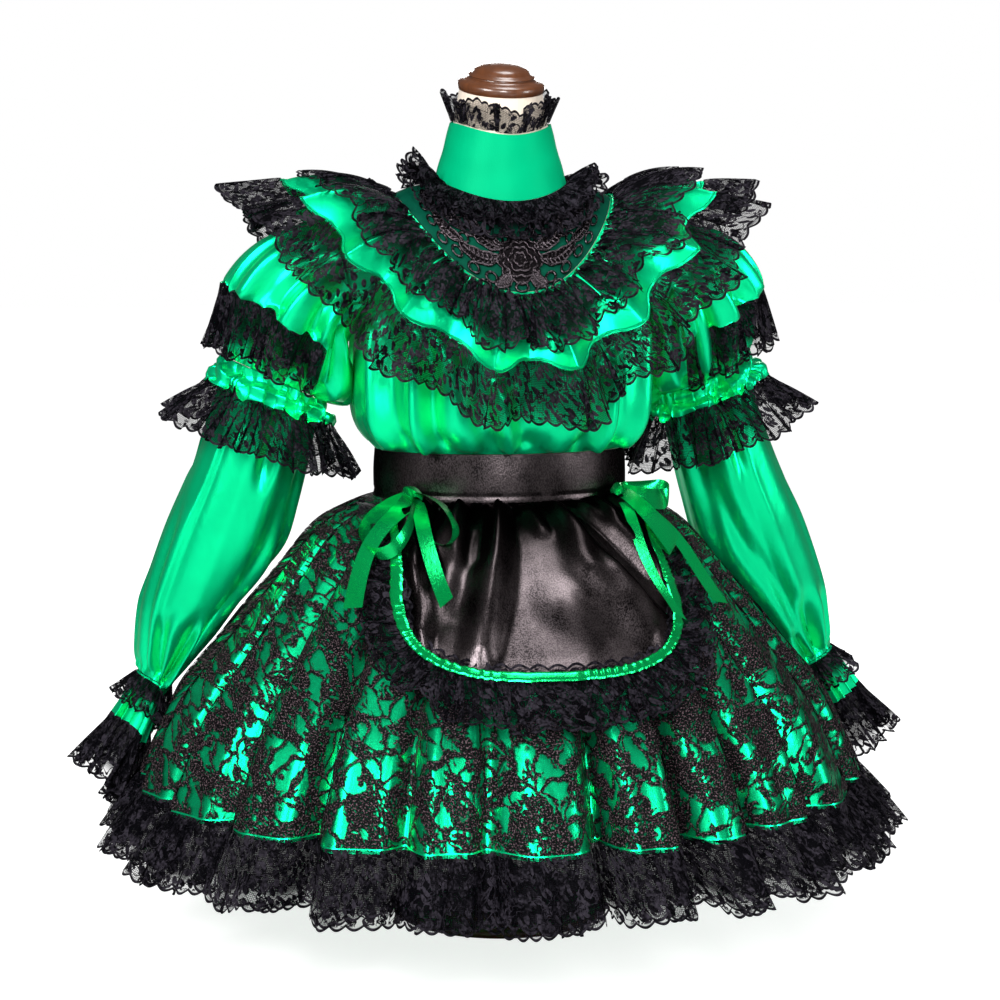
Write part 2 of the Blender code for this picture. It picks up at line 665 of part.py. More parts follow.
def make_bow(side, mark):
    """A ribbon bow on a top corner of the apron: a knot, two loops and two tails."""

    def near_knot(sideways, down, lift):
        """A point beside the knot: sideways towards the dress's side, down the skirt."""
        t = skirt_row_at(BOW_DOWN + down)
        bearing = BOW_BEARING + math.degrees(sideways / skirt_row(t)[1])
        return lifted(crest_point, t, side * bearing, BOW_LIFT[mark] + lift)

    def along_strip(strip, out, across, lift):
        a = math.radians(strip.turn_deg)
        sideways = out * math.sin(a) + across * math.cos(a)
        down = out * math.cos(a) - across * math.sin(a)
        return near_knot(sideways, down, lift)

    def loop(strip):
        def point(across, turn):
            a = math.radians(turn)
            out = strip.length * (0.5 - 0.5 * math.cos(a))
            flare = 0.55 + 0.45 * math.sin(a / 2)
            return along_strip(strip, out, across * strip.width * flare, -BOW_LOOP_RISE * math.sin(a))

        grid = grid_of(point, (-0.5, 0.5), np.linspace(14, 346, 10))
        return wall("loop", grid, RIBBON, GREEN_RIBBON)

    def tail(strip):
        def point(across, out):
            notch = 0.10 * (1 - abs(2 * across)) if out == 1 else 0
            length = strip.length * (out - notch)
            return along_strip(strip, length, across * strip.width, -0.002 + 0.012 * out)

        grid = grid_of(point, (-0.5, 0.0, 0.5), np.linspace(0, 1, 5))
        return wall("tail", grid, RIBBON, GREEN_RIBBON)

    knot = []
    for share, round_it in KNOT_RINGS:
        radius = round_it * BOW_KNOT
        ring = [(radius * math.sin(a), 0.9 * radius * math.cos(a)) for a in turns_of(8)]
        knot.append([near_knot(x, share * BOW_KNOT, lift) for x, lift in ring])
    parts = [solid_of_rings("knot", knot, GREEN_RIBBON)]
    parts += [loop(strip) for strip in BOW_LOOPS[mark]]
    parts += [tail(strip) for strip in BOW_TAILS[mark]]
    union(f"bow_{mark}", parts)


def on_yoke(flat):
    """A point of the flat motif laid over the yoke: x along it, y up it and z out from it."""
    bearing = math.degrees(flat[0] / MOTIF_RADIUS)
    row = MOTIF_ROW - flat[1] / MOTIF_ROW_LENGTH
    return lifted(body_point, row, bearing, SATIN / 2 + LIE + flat[2])


def flat_prism(outline, holes=()):
    """A closed flat plate with that outline, and round holes through it."""
    shape = bmesh.new()
    loops = [outline, *holes]
    edges = []
    for loop in loops:
        verts = [shape.verts.new((x, y, 0)) for x, y in loop]
        edges += [shape.edges.new((a, b)) for a, b in zip(verts, verts[1:] + verts[:1])]
    bmesh.ops.triangle_fill(shape, edges=edges, use_beauty=True)
    extruded = bmesh.ops.extrude_face_region(shape, geom=shape.faces[:])
    top = [v for v in extruded["geom"] if isinstance(v, bmesh.types.BMVert)]
    bmesh.ops.translate(shape, verts=top, vec=(0, 0, MOTIF_THICK))
    return new_object("motif", shape, BLACK_LACE)


def circle(centre_x, centre_y, radius, count):
    return [(centre_x + radius * math.sin(a), centre_y + radius * math.cos(a)) for a in turns_of(count)]


def leaf_outline(leaf, side):
    tilt = math.radians(leaf.turn_deg)
    outline = []
    for a in turns_of(6):
        x, y = leaf.length / 2 * math.cos(a), leaf.width / 2 * math.sin(a)
        along = x * math.cos(tilt) - y * math.sin(tilt)
        up = x * math.sin(tilt) + y * math.cos(tilt)
        outline.append((side * (leaf.along + along), leaf.up + up))
    return outline


def make_motif():
    """The corded motif on the yoke's front, joined flat and then laid on the cloth."""
    rose = []
    for a in turns_of(16):
        radius = ROSE_RADIUS + ROSE_SCALLOP * math.cos(8 * a)
        rose.append((radius * math.sin(a), radius * math.cos(a)))
    parts = [flat_prism(rose)]
    for side in (-1, 1):
        parts += [flat_prism(leaf_outline(leaf, side)) for leaf in LEAVES]
        for eyelet in EYELETS:
            rim = circle(side * eyelet.along, eyelet.up, EYELET_OUTER, 8)
            hole = circle(side * eyelet.along, eyelet.up, EYELET_INNER, 5)
            parts.append(flat_prism(rim, [hole]))
    flat = union("motif", parts)
    bpy.context.view_layer.update()
    joined = flat.evaluated_get(bpy.context.evaluated_depsgraph_get())
    shape = bmesh.new()
    shape.from_mesh(joined.to_mesh())
    joined.to_mesh_clear()
    for part in parts:
        bpy.data.objects.remove(part, do_unlink=True)
    step = math.radians(360 / BODY_COLUMNS) * MOTIF_RADIUS
    cuts = [((k * step, 0, 0), (1, 0, 0)) for k in range(-5, 6)]
    cuts.append(((0, (MOTIF_ROW - 1) * MOTIF_ROW_LENGTH, 0), (0, 1, 0)))
    for place, facing in cuts:
        everything = shape.verts[:] + shape.edges[:] + shape.faces[:]
        bmesh.ops.bisect_plane(
            shape, geom=everything, plane_co=place, plane_no=facing, dist=1e-6
        )
    bmesh.ops.triangulate(shape, faces=shape.faces[:])
    for vert in shape.verts:
        vert.co = on_yoke(vert.co)
    new_object("applique", shape, BLACK_LACE)


def make_buttons():
    """Covered buttons beside the back opening, each a shallow dome with its back to the cloth."""
    for k, row in enumerate(BUTTON_ROWS):
        centre = lifted(bodice_panel, row, BUTTON_DEG, SATIN / 2 + BUTTON_LIE)
        facing = Vector(lifted(bodice_panel, row, BUTTON_DEG, 1.0) - bodice_panel(row, BUTTON_DEG))
        place = Matrix.Translation(centre) @ facing.to_track_quat("Z", "Y").to_matrix().to_4x4()
        profile = (
            Turned(BUTTON_RADIUS * 0.8, 0), Turned(BUTTON_RADIUS, BUTTON_THICK * 0.35),
            Turned(BUTTON_RADIUS * 0.55, BUTTON_THICK),
        )
        turned(f"back_button_{k + 1}", profile, 10, GREEN_SATIN, place)


def sleeve_ring(row, turn):
    """A point of a sleeve's ring. turn is 0 at its outer side and 90 degrees at its back."""
    dip, a = math.radians(row[3]), math.radians(turn)
    up = np.array((math.sin(dip), 0, math.cos(dip)))
    return np.array(row[:3]) + row[4] * math.cos(a) * up + row[5] * math.sin(a) * np.array((0, 1, 0))


def sleeve_point(rows):
    return lambda t, turn: between(rows, t, lambda row: sleeve_ring(row, turn))


def armhole_point(turn):
    """The armhole's edge, followed by the sleeve head: its top at turn 0 and its back at 90 degrees."""
    a = math.radians(turn)
    t = ARMHOLE_MIDDLE - math.cos(a)
    bearing = 90 + ARMHOLE_DEG * math.sin(a)
    return body_point(t, bearing) + np.array((SATIN + SEAM, 0, 0))


def upper_point(t, turn):
    """The upper sleeve: t is 0 at the armhole and 5 at the elbow gather."""
    if t >= 1:
        return sleeve_point(UPPER_SLEEVE)(t - 1, turn)
    return (1 - t) * armhole_point(turn) + t * sleeve_ring(UPPER_SLEEVE[0], turn)


def off_the_skirt(point):
    """Moves a hanging point smoothly out until it clears the skirt and its hem lace."""
    rows = [(row.z, row.half_width + row.fold, row.half_depth + row.fold) for row in SKIRT]
    z, half_width, half_depth = rows[-1]
    rows.append((LACE_HEM_Z, half_width + LACE_FLARE, half_depth + LACE_FLARE))
    rows = np.array(rows)[::-1]
    width = np.interp(point[2], rows[:, 0], rows[:, 1]) + HANG_CLEARANCE
    depth = np.interp(point[2], rows[:, 0], rows[:, 2]) + HANG_CLEARANCE
    share = math.hypot(point[0] / width, point[1] / depth)
    moved = 1 + HANG_SOFTNESS * math.log1p(math.exp((share - 1) / HANG_SOFTNESS))
    return point * np.array((moved / share, moved / share, 1))


def make_sleeve(side, mark):
    """One sleeve with its cap flounce, elbow frill and cuff, mirrored for the -X side."""

    def hanging(rows):
        """A point below the elbow, which swings out more the lower it hangs."""

        def point(t, turn):
            place = sleeve_point(rows)(t, turn)
            out = SWING[mark] * max(0, ELBOW_Z - place[2]) ** 1.5
            return off_the_skirt(place + np.array((out, 0, 0)))

        return point

    lower_point, cuff_point = hanging(LOWER_SLEEVE), hanging(CUFF)

    def piece(name, point, rows, turns, thickness, finish, closed=True):
        grid = grid_of(point, rows, turns)
        if side < 0:
            grid = grid[:, ::-1] * np.array((-1, 1, 1))
        wall(f"{name}_{mark}", grid, thickness, finish, closed)

    def all_round(count):
        return np.linspace(0, 360, count, endpoint=False)

    turns = all_round(SLEEVE_COLUMNS)
    piece("sleeve_upper", upper_point, (0, 1, 2, 3, 4, 5), turns, SATIN, GREEN_SATIN)
    piece("sleeve_lower", lower_point, (0, 1, 2, 3, 4, 5, 6), turns, SATIN, GREEN_SATIN)

    def cap_end(turn):
        wave = waves(turn / 360, CAP_WAVES, 0.1)
        return lifted(upper_point, 3.35, turn, 0.013 + 0.006 * wave, 2.0)

    def cap(t, turn):
        bulge = 0.0050 + 0.0120 * math.sin(math.pi * t / 2)
        start = lifted(upper_point, 0.80 + 2.5 * t, turn, bulge, 2.0)
        return (1 - t * t) * start + t * t * cap_end(turn)

    def cap_lace(t, turn):
        wave = waves(turn / 360, CAP_WAVES, 0.1)
        hem = lifted(upper_point, 4.45, turn, 0.026 + 0.011 * wave, 2.0)
        root = cap_end(turn)
        root = root + (hem - root) / np.linalg.norm(hem - root) * (SEAM + 0.0003)
        return (1 - t) * root + t * hem

    over_top = np.linspace(-118, 118, 25)
    piece("cap_flounce", cap, (0.0, 0.35, 0.7, 1.0), over_top, SATIN, GREEN_SATIN, closed=False)
    piece("cap_lace", cap_lace, (0.0, 1.0), over_top, LACE, BLACK_LACE, closed=False)

    def elbow(t, turn):
        lift = SATIN + LIE + t * (0.016 + 0.005 * waves(turn / 360, ELBOW_WAVES, 0.3))
        return lifted(lower_point, 0.02 + 0.42 * t, turn, lift, 2.0)

    def elbow_lace(t, turn):
        wave = 0.005 * (1 + 1.4 * t) * waves(turn / 360, ELBOW_WAVES, 0.3)
        lift = SATIN + LIE + 0.016 + 0.042 * t + wave
        return lifted(lower_point, 0.452 + 0.90 * t, turn, lift, 2.0)

    turns = all_round(ELBOW_WAVES * 4)
    piece("elbow_frill", elbow, (0.0, 1.0), turns, SATIN, GREEN_SATIN)
    piece("elbow_lace", elbow_lace, (0.0, 1.0), turns, LACE, BLACK_LACE)

    def cuff(t, turn):
        return lifted(cuff_point, t, turn, 0.003 * t * waves(turn / 360, CUFF_WAVES, 0.2), 2.0)

    def cuff_lace(t, turn):
        swell = 0.003 * (1 + 2 * t) * waves(turn / 360, CUFF_WAVES, 0.2)
        return lifted(cuff_point, 1.012 + 0.98 * t, turn, swell, 2.0)

    def wrist_lace(t, turn):
        lift = SATIN + LIE + t * (0.010 + 0.004 * waves(turn / 360, CUFF_WAVES, 0.7))
        return lifted(cuff_point, 0.03 + 0.65 * t, turn, lift, 2.0)

    turns = all_round(CUFF_WAVES * 4)
    piece("cuff_frill", cuff, (0.0, 1.0), turns, SATIN, GREEN_SATIN)
    piece("cuff_lace", cuff_lace, (0.0, 1.0), turns, LACE, BLACK_LACE)
    piece("wrist_lace", wrist_lace, (0.0, 1.0), turns, LACE, BLACK_LACE)


def main():
    clear_scene()
    make_stand()
    make_form()
    make_body()
    make_collar()
    make_bertha()
    make_skirt()
    make_waistband()
    make_apron()
    make_bow(1, "left")
    make_bow(-1, "right")
    make_motif()
    make_buttons()
    make_sleeve(1, "left")
    make_sleeve(-1, "right")


main()
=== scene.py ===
"""Looks of a maid costume dress on a limbless dress form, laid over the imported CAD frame.

Frame: metres, +Z up. The dress faces -Y and the origin is the middle of the stand's underside. A bearing
is an angle round the dress: 0 at the front centre, 90 degrees at +X (the viewer's right), 180 at the back.
Every cloth piece is a sheet through a grid of points: its rows run down from its gathered or sewn edge, and
its last row is its free edge.
"""

import logging
import math
from collections import namedtuple
from dataclasses import dataclass
from enum import Enum
from typing import Any, Callable, Mapping, Sequence, Union

import bpy
import numpy as np
from mathutils import Matrix, Vector


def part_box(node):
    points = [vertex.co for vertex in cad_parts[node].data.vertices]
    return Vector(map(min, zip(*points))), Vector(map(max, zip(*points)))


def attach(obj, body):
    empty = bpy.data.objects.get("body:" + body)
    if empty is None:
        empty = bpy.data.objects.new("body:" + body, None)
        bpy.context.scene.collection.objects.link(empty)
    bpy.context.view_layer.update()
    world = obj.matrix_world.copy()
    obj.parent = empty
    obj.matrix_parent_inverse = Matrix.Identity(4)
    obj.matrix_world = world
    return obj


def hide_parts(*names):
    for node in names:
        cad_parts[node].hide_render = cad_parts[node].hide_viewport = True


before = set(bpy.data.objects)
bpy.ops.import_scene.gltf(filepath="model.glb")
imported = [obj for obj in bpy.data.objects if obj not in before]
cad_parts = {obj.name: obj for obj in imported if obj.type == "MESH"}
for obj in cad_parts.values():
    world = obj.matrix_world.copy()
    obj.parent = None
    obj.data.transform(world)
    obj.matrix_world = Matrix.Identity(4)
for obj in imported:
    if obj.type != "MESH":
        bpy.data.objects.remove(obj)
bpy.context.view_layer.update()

logging.basicConfig(level=logging.INFO, format="%(message)s")
log = logging.getLogger("dress")

Array = np.ndarray
Surface = Callable[[Array, Array], Array]
Colour = tuple[float, float, float]

# Cloth walls and the gaps between pieces, as in the CAD source
SATIN = 0.0014
LACE = 0.0010
SEAM = 0.0006
LIE = 0.0008
BACK_EDGE = 180 - 0.14
SIDE_GAP_DEG = 0.18

# Steps that find a surface's direction, a direction's least length and a flat sheet's least sizes
ROW_STEP, TURN_STEP, SLEEVE_STEP = 1e-4, 0.05, 2.0
TINY = 1e-12
LEAST_AREA_SHARE, LEAST_FLAT = 0.31, 0.011

# Body cloth: one closed ring for each row, given at the side, the front and the back
Ring = namedtuple("Ring", "side_x side_z front_y front_z back_y back_z square")
BODY = np.array((
    Ring(0.092, 1.032, -0.085, 1.004, 0.078, 1.042, 2.0),
    Ring(0.124, 1.026, -0.118, 0.950, 0.102, 0.995, 2.0),
    Ring(0.152, 1.015, -0.143, 0.884, 0.120, 0.935, 2.1),
    Ring(0.197, 0.988, -0.161, 0.835, 0.130, 0.885, 2.3),
    Ring(0.206, 0.925, -0.168, 0.800, 0.134, 0.845, 2.4),
    Ring(0.202, 0.850, -0.164, 0.765, 0.134, 0.800, 2.4),
    Ring(0.206, 0.715, -0.160, 0.703, 0.142, 0.708, 2.3),
    Ring(0.177, 0.6665, -0.132, 0.6665, 0.127, 0.6665, 2.1),
))
YOKE_SEAM, ARMHOLE_MIDDLE, WAIST_SEAM = 2, 4, 7
ARMHOLE_DEG = 27.0
COLLAR_TOP = np.array(Ring(0.070, 1.113, -0.074, 1.094, 0.062, 1.130, 2.0))
COLLAR_FRILL_TOP = np.array(Ring(0.082, 1.150, -0.086, 1.131, 0.074, 1.167, 2.0))
BERTHA_MID = np.array(Ring(0.224, 1.033, -0.187, 0.838, 0.166, 0.888, 2.0))
BERTHA_HEM = np.array(Ring(0.290, 1.020, -0.208, 0.784, 0.190, 0.830, 2.0))
BERTHA_LACE_HEM = np.array(Ring(0.368, 1.004, -0.222, 0.706, 0.204, 0.752, 2.0))

# Waistband and the dress form's neck
WAIST_LOW_Z, WAIST_TOP_Z = 0.600, 0.6655
WAIST_HALF_WIDTH, WAIST_HALF_DEPTH, WAIST_SPREAD = 0.177, 0.1325, 0.002
NECK_TOP_Y, NECK_TOP_Z, NECK_TILT_DEG = -0.006, 1.158, 15.0

# Skirt: a bell on elliptical rings, pleated deeper towards the hem
SkirtRow = namedtuple("SkirtRow", "z half_width half_depth fold")
SKIRT = np.array((
    SkirtRow(WAIST_LOW_Z - 2 * SEAM, 0.178, 0.133, 0.0005),
    SkirtRow(0.563, 0.254, 0.214, 0.0080),
    SkirtRow(0.450, 0.350, 0.324, 0.0140),
    SkirtRow(0.325, 0.447, 0.430, 0.0200),
    SkirtRow(0.207, 0.500, 0.485, 0.0240),
))
LACE_HEM_Z, LACE_FLARE = 0.125, 0.046
CREST = 0.74
Pleat = namedtuple("Pleat", "bearing depth")
PLEATS = (
    Pleat(-180, 0.8), Pleat(-161, 0.6), Pleat(-143, 0.9), Pleat(-125, 0.6), Pleat(-108, 0.8),
    Pleat(-91, 0.6), Pleat(-74, 0.8), Pleat(-58, 0.6), Pleat(-41, 0.9), Pleat(-26, 0.6),
    Pleat(-14, 0.5), Pleat(4, 1.2), Pleat(17, 1.1), Pleat(29, 0.9), Pleat(44, 0.7),
    Pleat(62, 0.8), Pleat(82, 0.6), Pleat(101, 0.8), Pleat(120, 0.6), Pleat(140, 0.8),
    Pleat(160, 0.6),
)

# Sleeves: rings in planes that turn from the armhole to the wrist, for the +X side
SleeveRow = namedtuple("SleeveRow", "x y z dip_deg across deep")
UPPER_SLEEVE = np.array((
    SleeveRow(0.234, 0.002, 0.904, 20, 0.074, 0.076),
    SleeveRow(0.270, 0.012, 0.880, 40, 0.086, 0.088),
    SleeveRow(0.291, 0.028, 0.838, 56, 0.093, 0.090),
    SleeveRow(0.302, 0.044, 0.793, 62, 0.088, 0.082),
    SleeveRow(0.312, 0.054, 0.762, 65, 0.068, 0.064),
))
LOWER_SLEEVE = np.array((
    SleeveRow(0.3124, 0.0543, 0.7610, 65, 0.068, 0.064),
    SleeveRow(0.329, 0.062, 0.695, 68, 0.072, 0.068),
    SleeveRow(0.354, 0.072, 0.612, 69, 0.078, 0.071),
    SleeveRow(0.386, 0.086, 0.520, 69, 0.085, 0.074),
    SleeveRow(0.424, 0.100, 0.425, 68, 0.078, 0.066),
    SleeveRow(0.448, 0.108, 0.360, 68, 0.061, 0.053),
    SleeveRow(0.460, 0.112, 0.328, 67, 0.046, 0.042),
))
CUFF = np.array((
    SleeveRow(0.46045, 0.1123, 0.3268, 67, 0.046, 0.042),
    SleeveRow(0.486, 0.120, 0.262, 66, 0.058, 0.051),
    SleeveRow(0.528, 0.130, 0.182, 65, 0.074, 0.062),
))
ELBOW_Z = 0.735
SWING = {"left": 0.13, "right": 0.0}
HANG_CLEARANCE, HANG_SOFTNESS = 0.009, 0.025
LACE_BLEND = 0.25

# Apron: laid over the skirt, measured sideways and down from the waist seam
APRON_TOP_HALF, APRON_HALF = 0.152, 0.176
APRON_SIDE, APRON_LENGTH = 0.190, 0.308
APRON_CORNER, APRON_SHIFT, APRON_TUCK, APRON_LIFT = 0.60, -0.005, 0.004, 0.0048
APRON_ROUND, EDGE_STEP, SKIRT_SIDE = 0.64, 0.02, 0.98
APRON_LACE_LOW, APRON_LACE_SIDE = 0.080, 0.040
RIBBON_WIDTH = 0.014
BOW_BEARING, BOW_DOWN = 46.0, 0.016
BOW_LIFT = {"left": 0.0188, "right": 0.0198}

# Front motif on the yoke and turned wood
MOTIF_ROW, MOTIF_RADIUS, MOTIF_ROW_LENGTH = 1.36, 0.140, 0.066
Turned = namedtuple("Turned", "radius z")
FACE_GAP = 0.0003


class Slot(Enum):
    """The record's material slots."""

    GREEN = "green_satin"
    BLACK = "black_satin"
    LACE = "black_lace"
    RIBBON = "green_ribbon"
    LINEN = "form_linen"
    WOOD = "turned_wood"


class Held(Enum):
    GATHERED = "gathered"
    HUNG = "hung"
    FOLDED = "folded"
    STRETCHED = "stretched"


class Grain(Enum):
    """How a sheet's pattern runs along its rows."""

    EVEN = "measured on each row"
    GATHERED = "measured on the free edge and drawn together above it"


def _operator(operation: str, swapped: bool = False) -> Callable:
    """A Python operator that adds a Math node.

    Args:
        operation: The node's operation.
        swapped: Whether the other term comes first.

    Returns:
        The operator's method.
    """
    def joined(self: "Value", other: "Term") -> "Value":
        """The two terms in one node."""
        return self.graph.math(operation, *((other, self) if swapped else (self, other)))

    return joined


@dataclass(frozen=True)
class Value:
    """A shader socket that takes part in Python arithmetic."""

    graph: "Graph"
    socket: bpy.types.NodeSocket

    __add__, __radd__ = _operator("ADD"), _operator("ADD", True)
    __sub__, __rsub__ = _operator("SUBTRACT"), _operator("SUBTRACT", True)
    __mul__, __rmul__ = _operator("MULTIPLY"), _operator("MULTIPLY", True)


Term = Union[Value, float]


class Graph:
    """One material's shader nodes, written as Python expressions."""

    def __init__(self, name: str, roughness: float, specular: float = 0.5, sheen: float = 0.0) -> None:
        """Starts a material from its Principled shader.

        Args:
            name: The material's name.
            roughness: The constant roughness, which a link may replace.
            specular: The specular level.
            sheen: The sheen's weight.
        """
        self.material = bpy.data.materials.new(name)
        self.material.use_nodes = True
        self.tree = self.material.node_tree
        self.shader = self.tree.nodes["Principled BSDF"]
        self.shader.inputs["Roughness"].default_value = roughness
        self.shader.inputs["Specular IOR Level"].default_value = specular
        self.shader.inputs["Sheen Weight"].default_value = sheen

    def node(self, kind: str, settings: Mapping[str, Any], inputs: Mapping[Any, Any]) -> bpy.types.Node:
        """Makes any node.

        Args:
            kind: The node's type.
            settings: Its settings, which are set first.
            inputs: A value or a link for each of its sockets.

        Returns:
            The node.
        """
        made = self.tree.nodes.new(kind)
        for key, value in settings.items():
            setattr(made, key, value)
        for key, value in inputs.items():
            self._set(made.inputs[key], value)
        return made

    def _set(self, socket: bpy.types.NodeSocket, value: Any) -> None:
        """Links a value to a socket, or sets a constant on it.

        Args:
            socket: The socket.
            value: The value, or a constant.
        """
        if isinstance(value, Value):
            self.tree.links.new(value.socket, socket)
        else:
            socket.default_value = value

    def out(self, made: bpy.types.Node, name: Union[str, int] = 0) -> Value:
        """A node's output."""
        return Value(self, made.outputs[name])

    def math(self, operation: str, *terms: Term) -> Value:
        """A Math node."""
        return self.out(self.node("ShaderNodeMath", {"operation": operation}, dict(enumerate(terms))))

    def vector(self, operation: str, *terms: Any, **inputs: Any) -> Value:
        """A Vector Math node."""
        settings = {"operation": operation}
        return self.out(self.node("ShaderNodeVectorMath", settings, {**dict(enumerate(terms)), **inputs}))

    def step(self, value: Value, low: float, high: float) -> Value:
        """A smooth rise from 0 at low to 1 at high, which may be the lower number."""
        inputs = {"Value": value, "From Min": low, "From Max": high}
        return self.out(self.node("ShaderNodeMapRange", {"interpolation_type": "SMOOTHSTEP"}, inputs))

    def position(self, scale: Sequence[float] = (1, 1, 1), uv: bool = False) -> Value:
        """Object coordinates or the piece's UV map in metres, scaled.

        Args:
            scale: The scale on each axis.
            uv: Whether the UV map is read.

        Returns:
            The vector.
        """
        source = self.out(self.node("ShaderNodeTexCoord", {}, {}), "UV" if uv else "Object")
        return self.vector("MULTIPLY", source, tuple(scale))

    def split(self, vector: Value) -> tuple[Value, Value, Value]:
        """A vector's parts."""
        parts = self.node("ShaderNodeSeparateXYZ", {}, {0: vector})
        return tuple(self.out(parts, k) for k in range(3))

    def noise(self, vector: Value, scale: float, detail: float = 2.0, distortion: float = 0.0) -> Value:
        """Noise from 0 to 1."""
        inputs = {"Vector": vector, "Scale": scale, "Detail": detail, "Distortion": distortion}
        return self.out(self.node("ShaderNodeTexNoise", {}, inputs))

    def mix(self, factor: Term, low: Any, high: Any) -> Value:
        """Mixes two colours.

        Args:
            factor: 0 for the first and 1 for the second.
            low: The first colour.
            high: The second colour.

        Returns:
            The colour.
        """
        colours = [colour if isinstance(colour, Value) else (*colour, 1.0) for colour in (low, high)]
        inputs = {0: factor, 6: colours[0], 7: colours[1]}
        return self.out(self.node("ShaderNodeMix", {"data_type": "RGBA"}, inputs), 2)

    def cells(self, vector: Value, scale: float, random: float, feature: str = "F1") -> bpy.types.Node:
        """Flat, uneven cells.

        Args:
            vector: Where they are read.
            scale: How many there are in a metre.
            random: How uneven they are, from 0 to 1.
            feature: Which distance: to the cells' middles or to their edges.

        Returns:
            The node.
        """
        settings = {"voronoi_dimensions": "2D", "feature": feature}
        inputs = {"Vector": vector, "Scale": scale, "Randomness": random}
        return self.node("ShaderNodeTexVoronoi", settings, inputs)

    def edges(self, vector: Value, scale: float, random: float = 0.95) -> Value:
        """The distance to the cells' edges."""
        return self.out(self.cells(vector, scale, random, "DISTANCE_TO_EDGE"), "Distance")

    def middles(self, vector: Value, scale: float, random: float = 0.95) -> Value:
        """The distance to the cells' middles."""
        return self.out(self.cells(vector, scale, random), "Distance")

    def bump(self, height: Value, distance: float, strength: float = 1.0) -> None:
        """Feeds a height in metres' worth of distance to the shader's normal.

        Args:
            height: The height, from 0 to 1.
            distance: What a height of 1 stands for, in metres.
            strength: The bump's strength.
        """
        inputs = {"Strength": strength, "Distance": distance, "Height": height}
        self.feed("Normal", self.out(self.node("ShaderNodeBump", {}, inputs)))

    def feed(self, socket: str, value: Any) -> None:
        """Feeds a value or a constant to one of the shader's sockets."""
        self._set(self.shader.inputs[socket], value)


@dataclass(frozen=True)
class Satin:
    """A woven satin: a coloured sheen, fine warp grain and small puckers."""

    name: str
    shade: Colour
    light: Colour
    roughness: float = 0.34
    metallic: float = 0.82
    pucker: float = 0.0008
    pucker_scale: float = 40.0
    grain: float = 0.00012
    specular: float = 0.25
    grain_scale: float = 700.0
    hem: bool = False
    # Painted shade: the colour turns towards near black at and above this height; 0 for none.
    painted_shade_height: float = 0.0
    # Painted sheen: the share of painted glinting grain in the mix of the shaded and lit colours, the rest
    # in painted sheen patches; 0 for slow random patches only.
    painted_sheen: float = 0.0
    relief: float = 0.002
    slot: Slot = Slot.GREEN

    def make(self) -> bpy.types.Material:
        """Makes the material.

        Returns:
            The material.
        """
        g = Graph(self.name, self.roughness, specular=self.specular)
        here = g.position()
        slow = g.noise(g.position((1.5, 1.0, 0.7)) if self.painted_sheen else here, 14.0, 3.0)
        fine = g.noise(g.position((1.0, 1.0, 0.6)), self.grain_scale, 1.0)
        # Painted sheen: the colour runs between a shaded and a lit copy in slow random patches; the black
        # satins get sharper painted sheen patches and a painted glinting grain.
        if self.painted_sheen:
            slow = g.step(slow, 0.30, 0.66) * (1.0 - self.painted_sheen)
            slow = slow + g.step(fine, 0.38, 0.62) * self.painted_sheen
        colour = g.mix(slow, self.shade, self.light)
        # Painted shade: from 85 mm below this height upwards the colour darkens towards near black, at the
        # apron's top under the waistband.
        if self.painted_shade_height:
            near = g.step(g.split(here)[2], self.painted_shade_height - 0.085, self.painted_shade_height)
            colour = g.mix(near * 0.85, colour, (0.006, 0.005, 0.005))
        g.feed("Base Color", colour)
        g.feed("Metallic", self.metallic)
        if self.painted_sheen:
            g.feed("Specular Tint", (0.16, 0.14, 0.15, 1.0))
        g.feed("Roughness", self.roughness - 0.05 + 0.10 * fine)
        octaves = 0.0 if self.painted_sheen else 2.5
        pucker = g.noise(g.position((1.0, 1.0, 0.45)), self.pucker_scale, octaves, 0.6)
        height = pucker * (self.pucker / self.relief) + fine * (self.grain / self.relief)
        if self.hem:
            edge = g.split(g.position(uv=True))[1]
            stitching = g.step(g.math("ABSOLUTE", edge - 0.0050), 0.0012, 0.0)
            height = height + g.step(edge, 0.0040, 0.0018) * 0.8 - stitching * 0.5
        g.bump(height, self.relief)
        return g.material


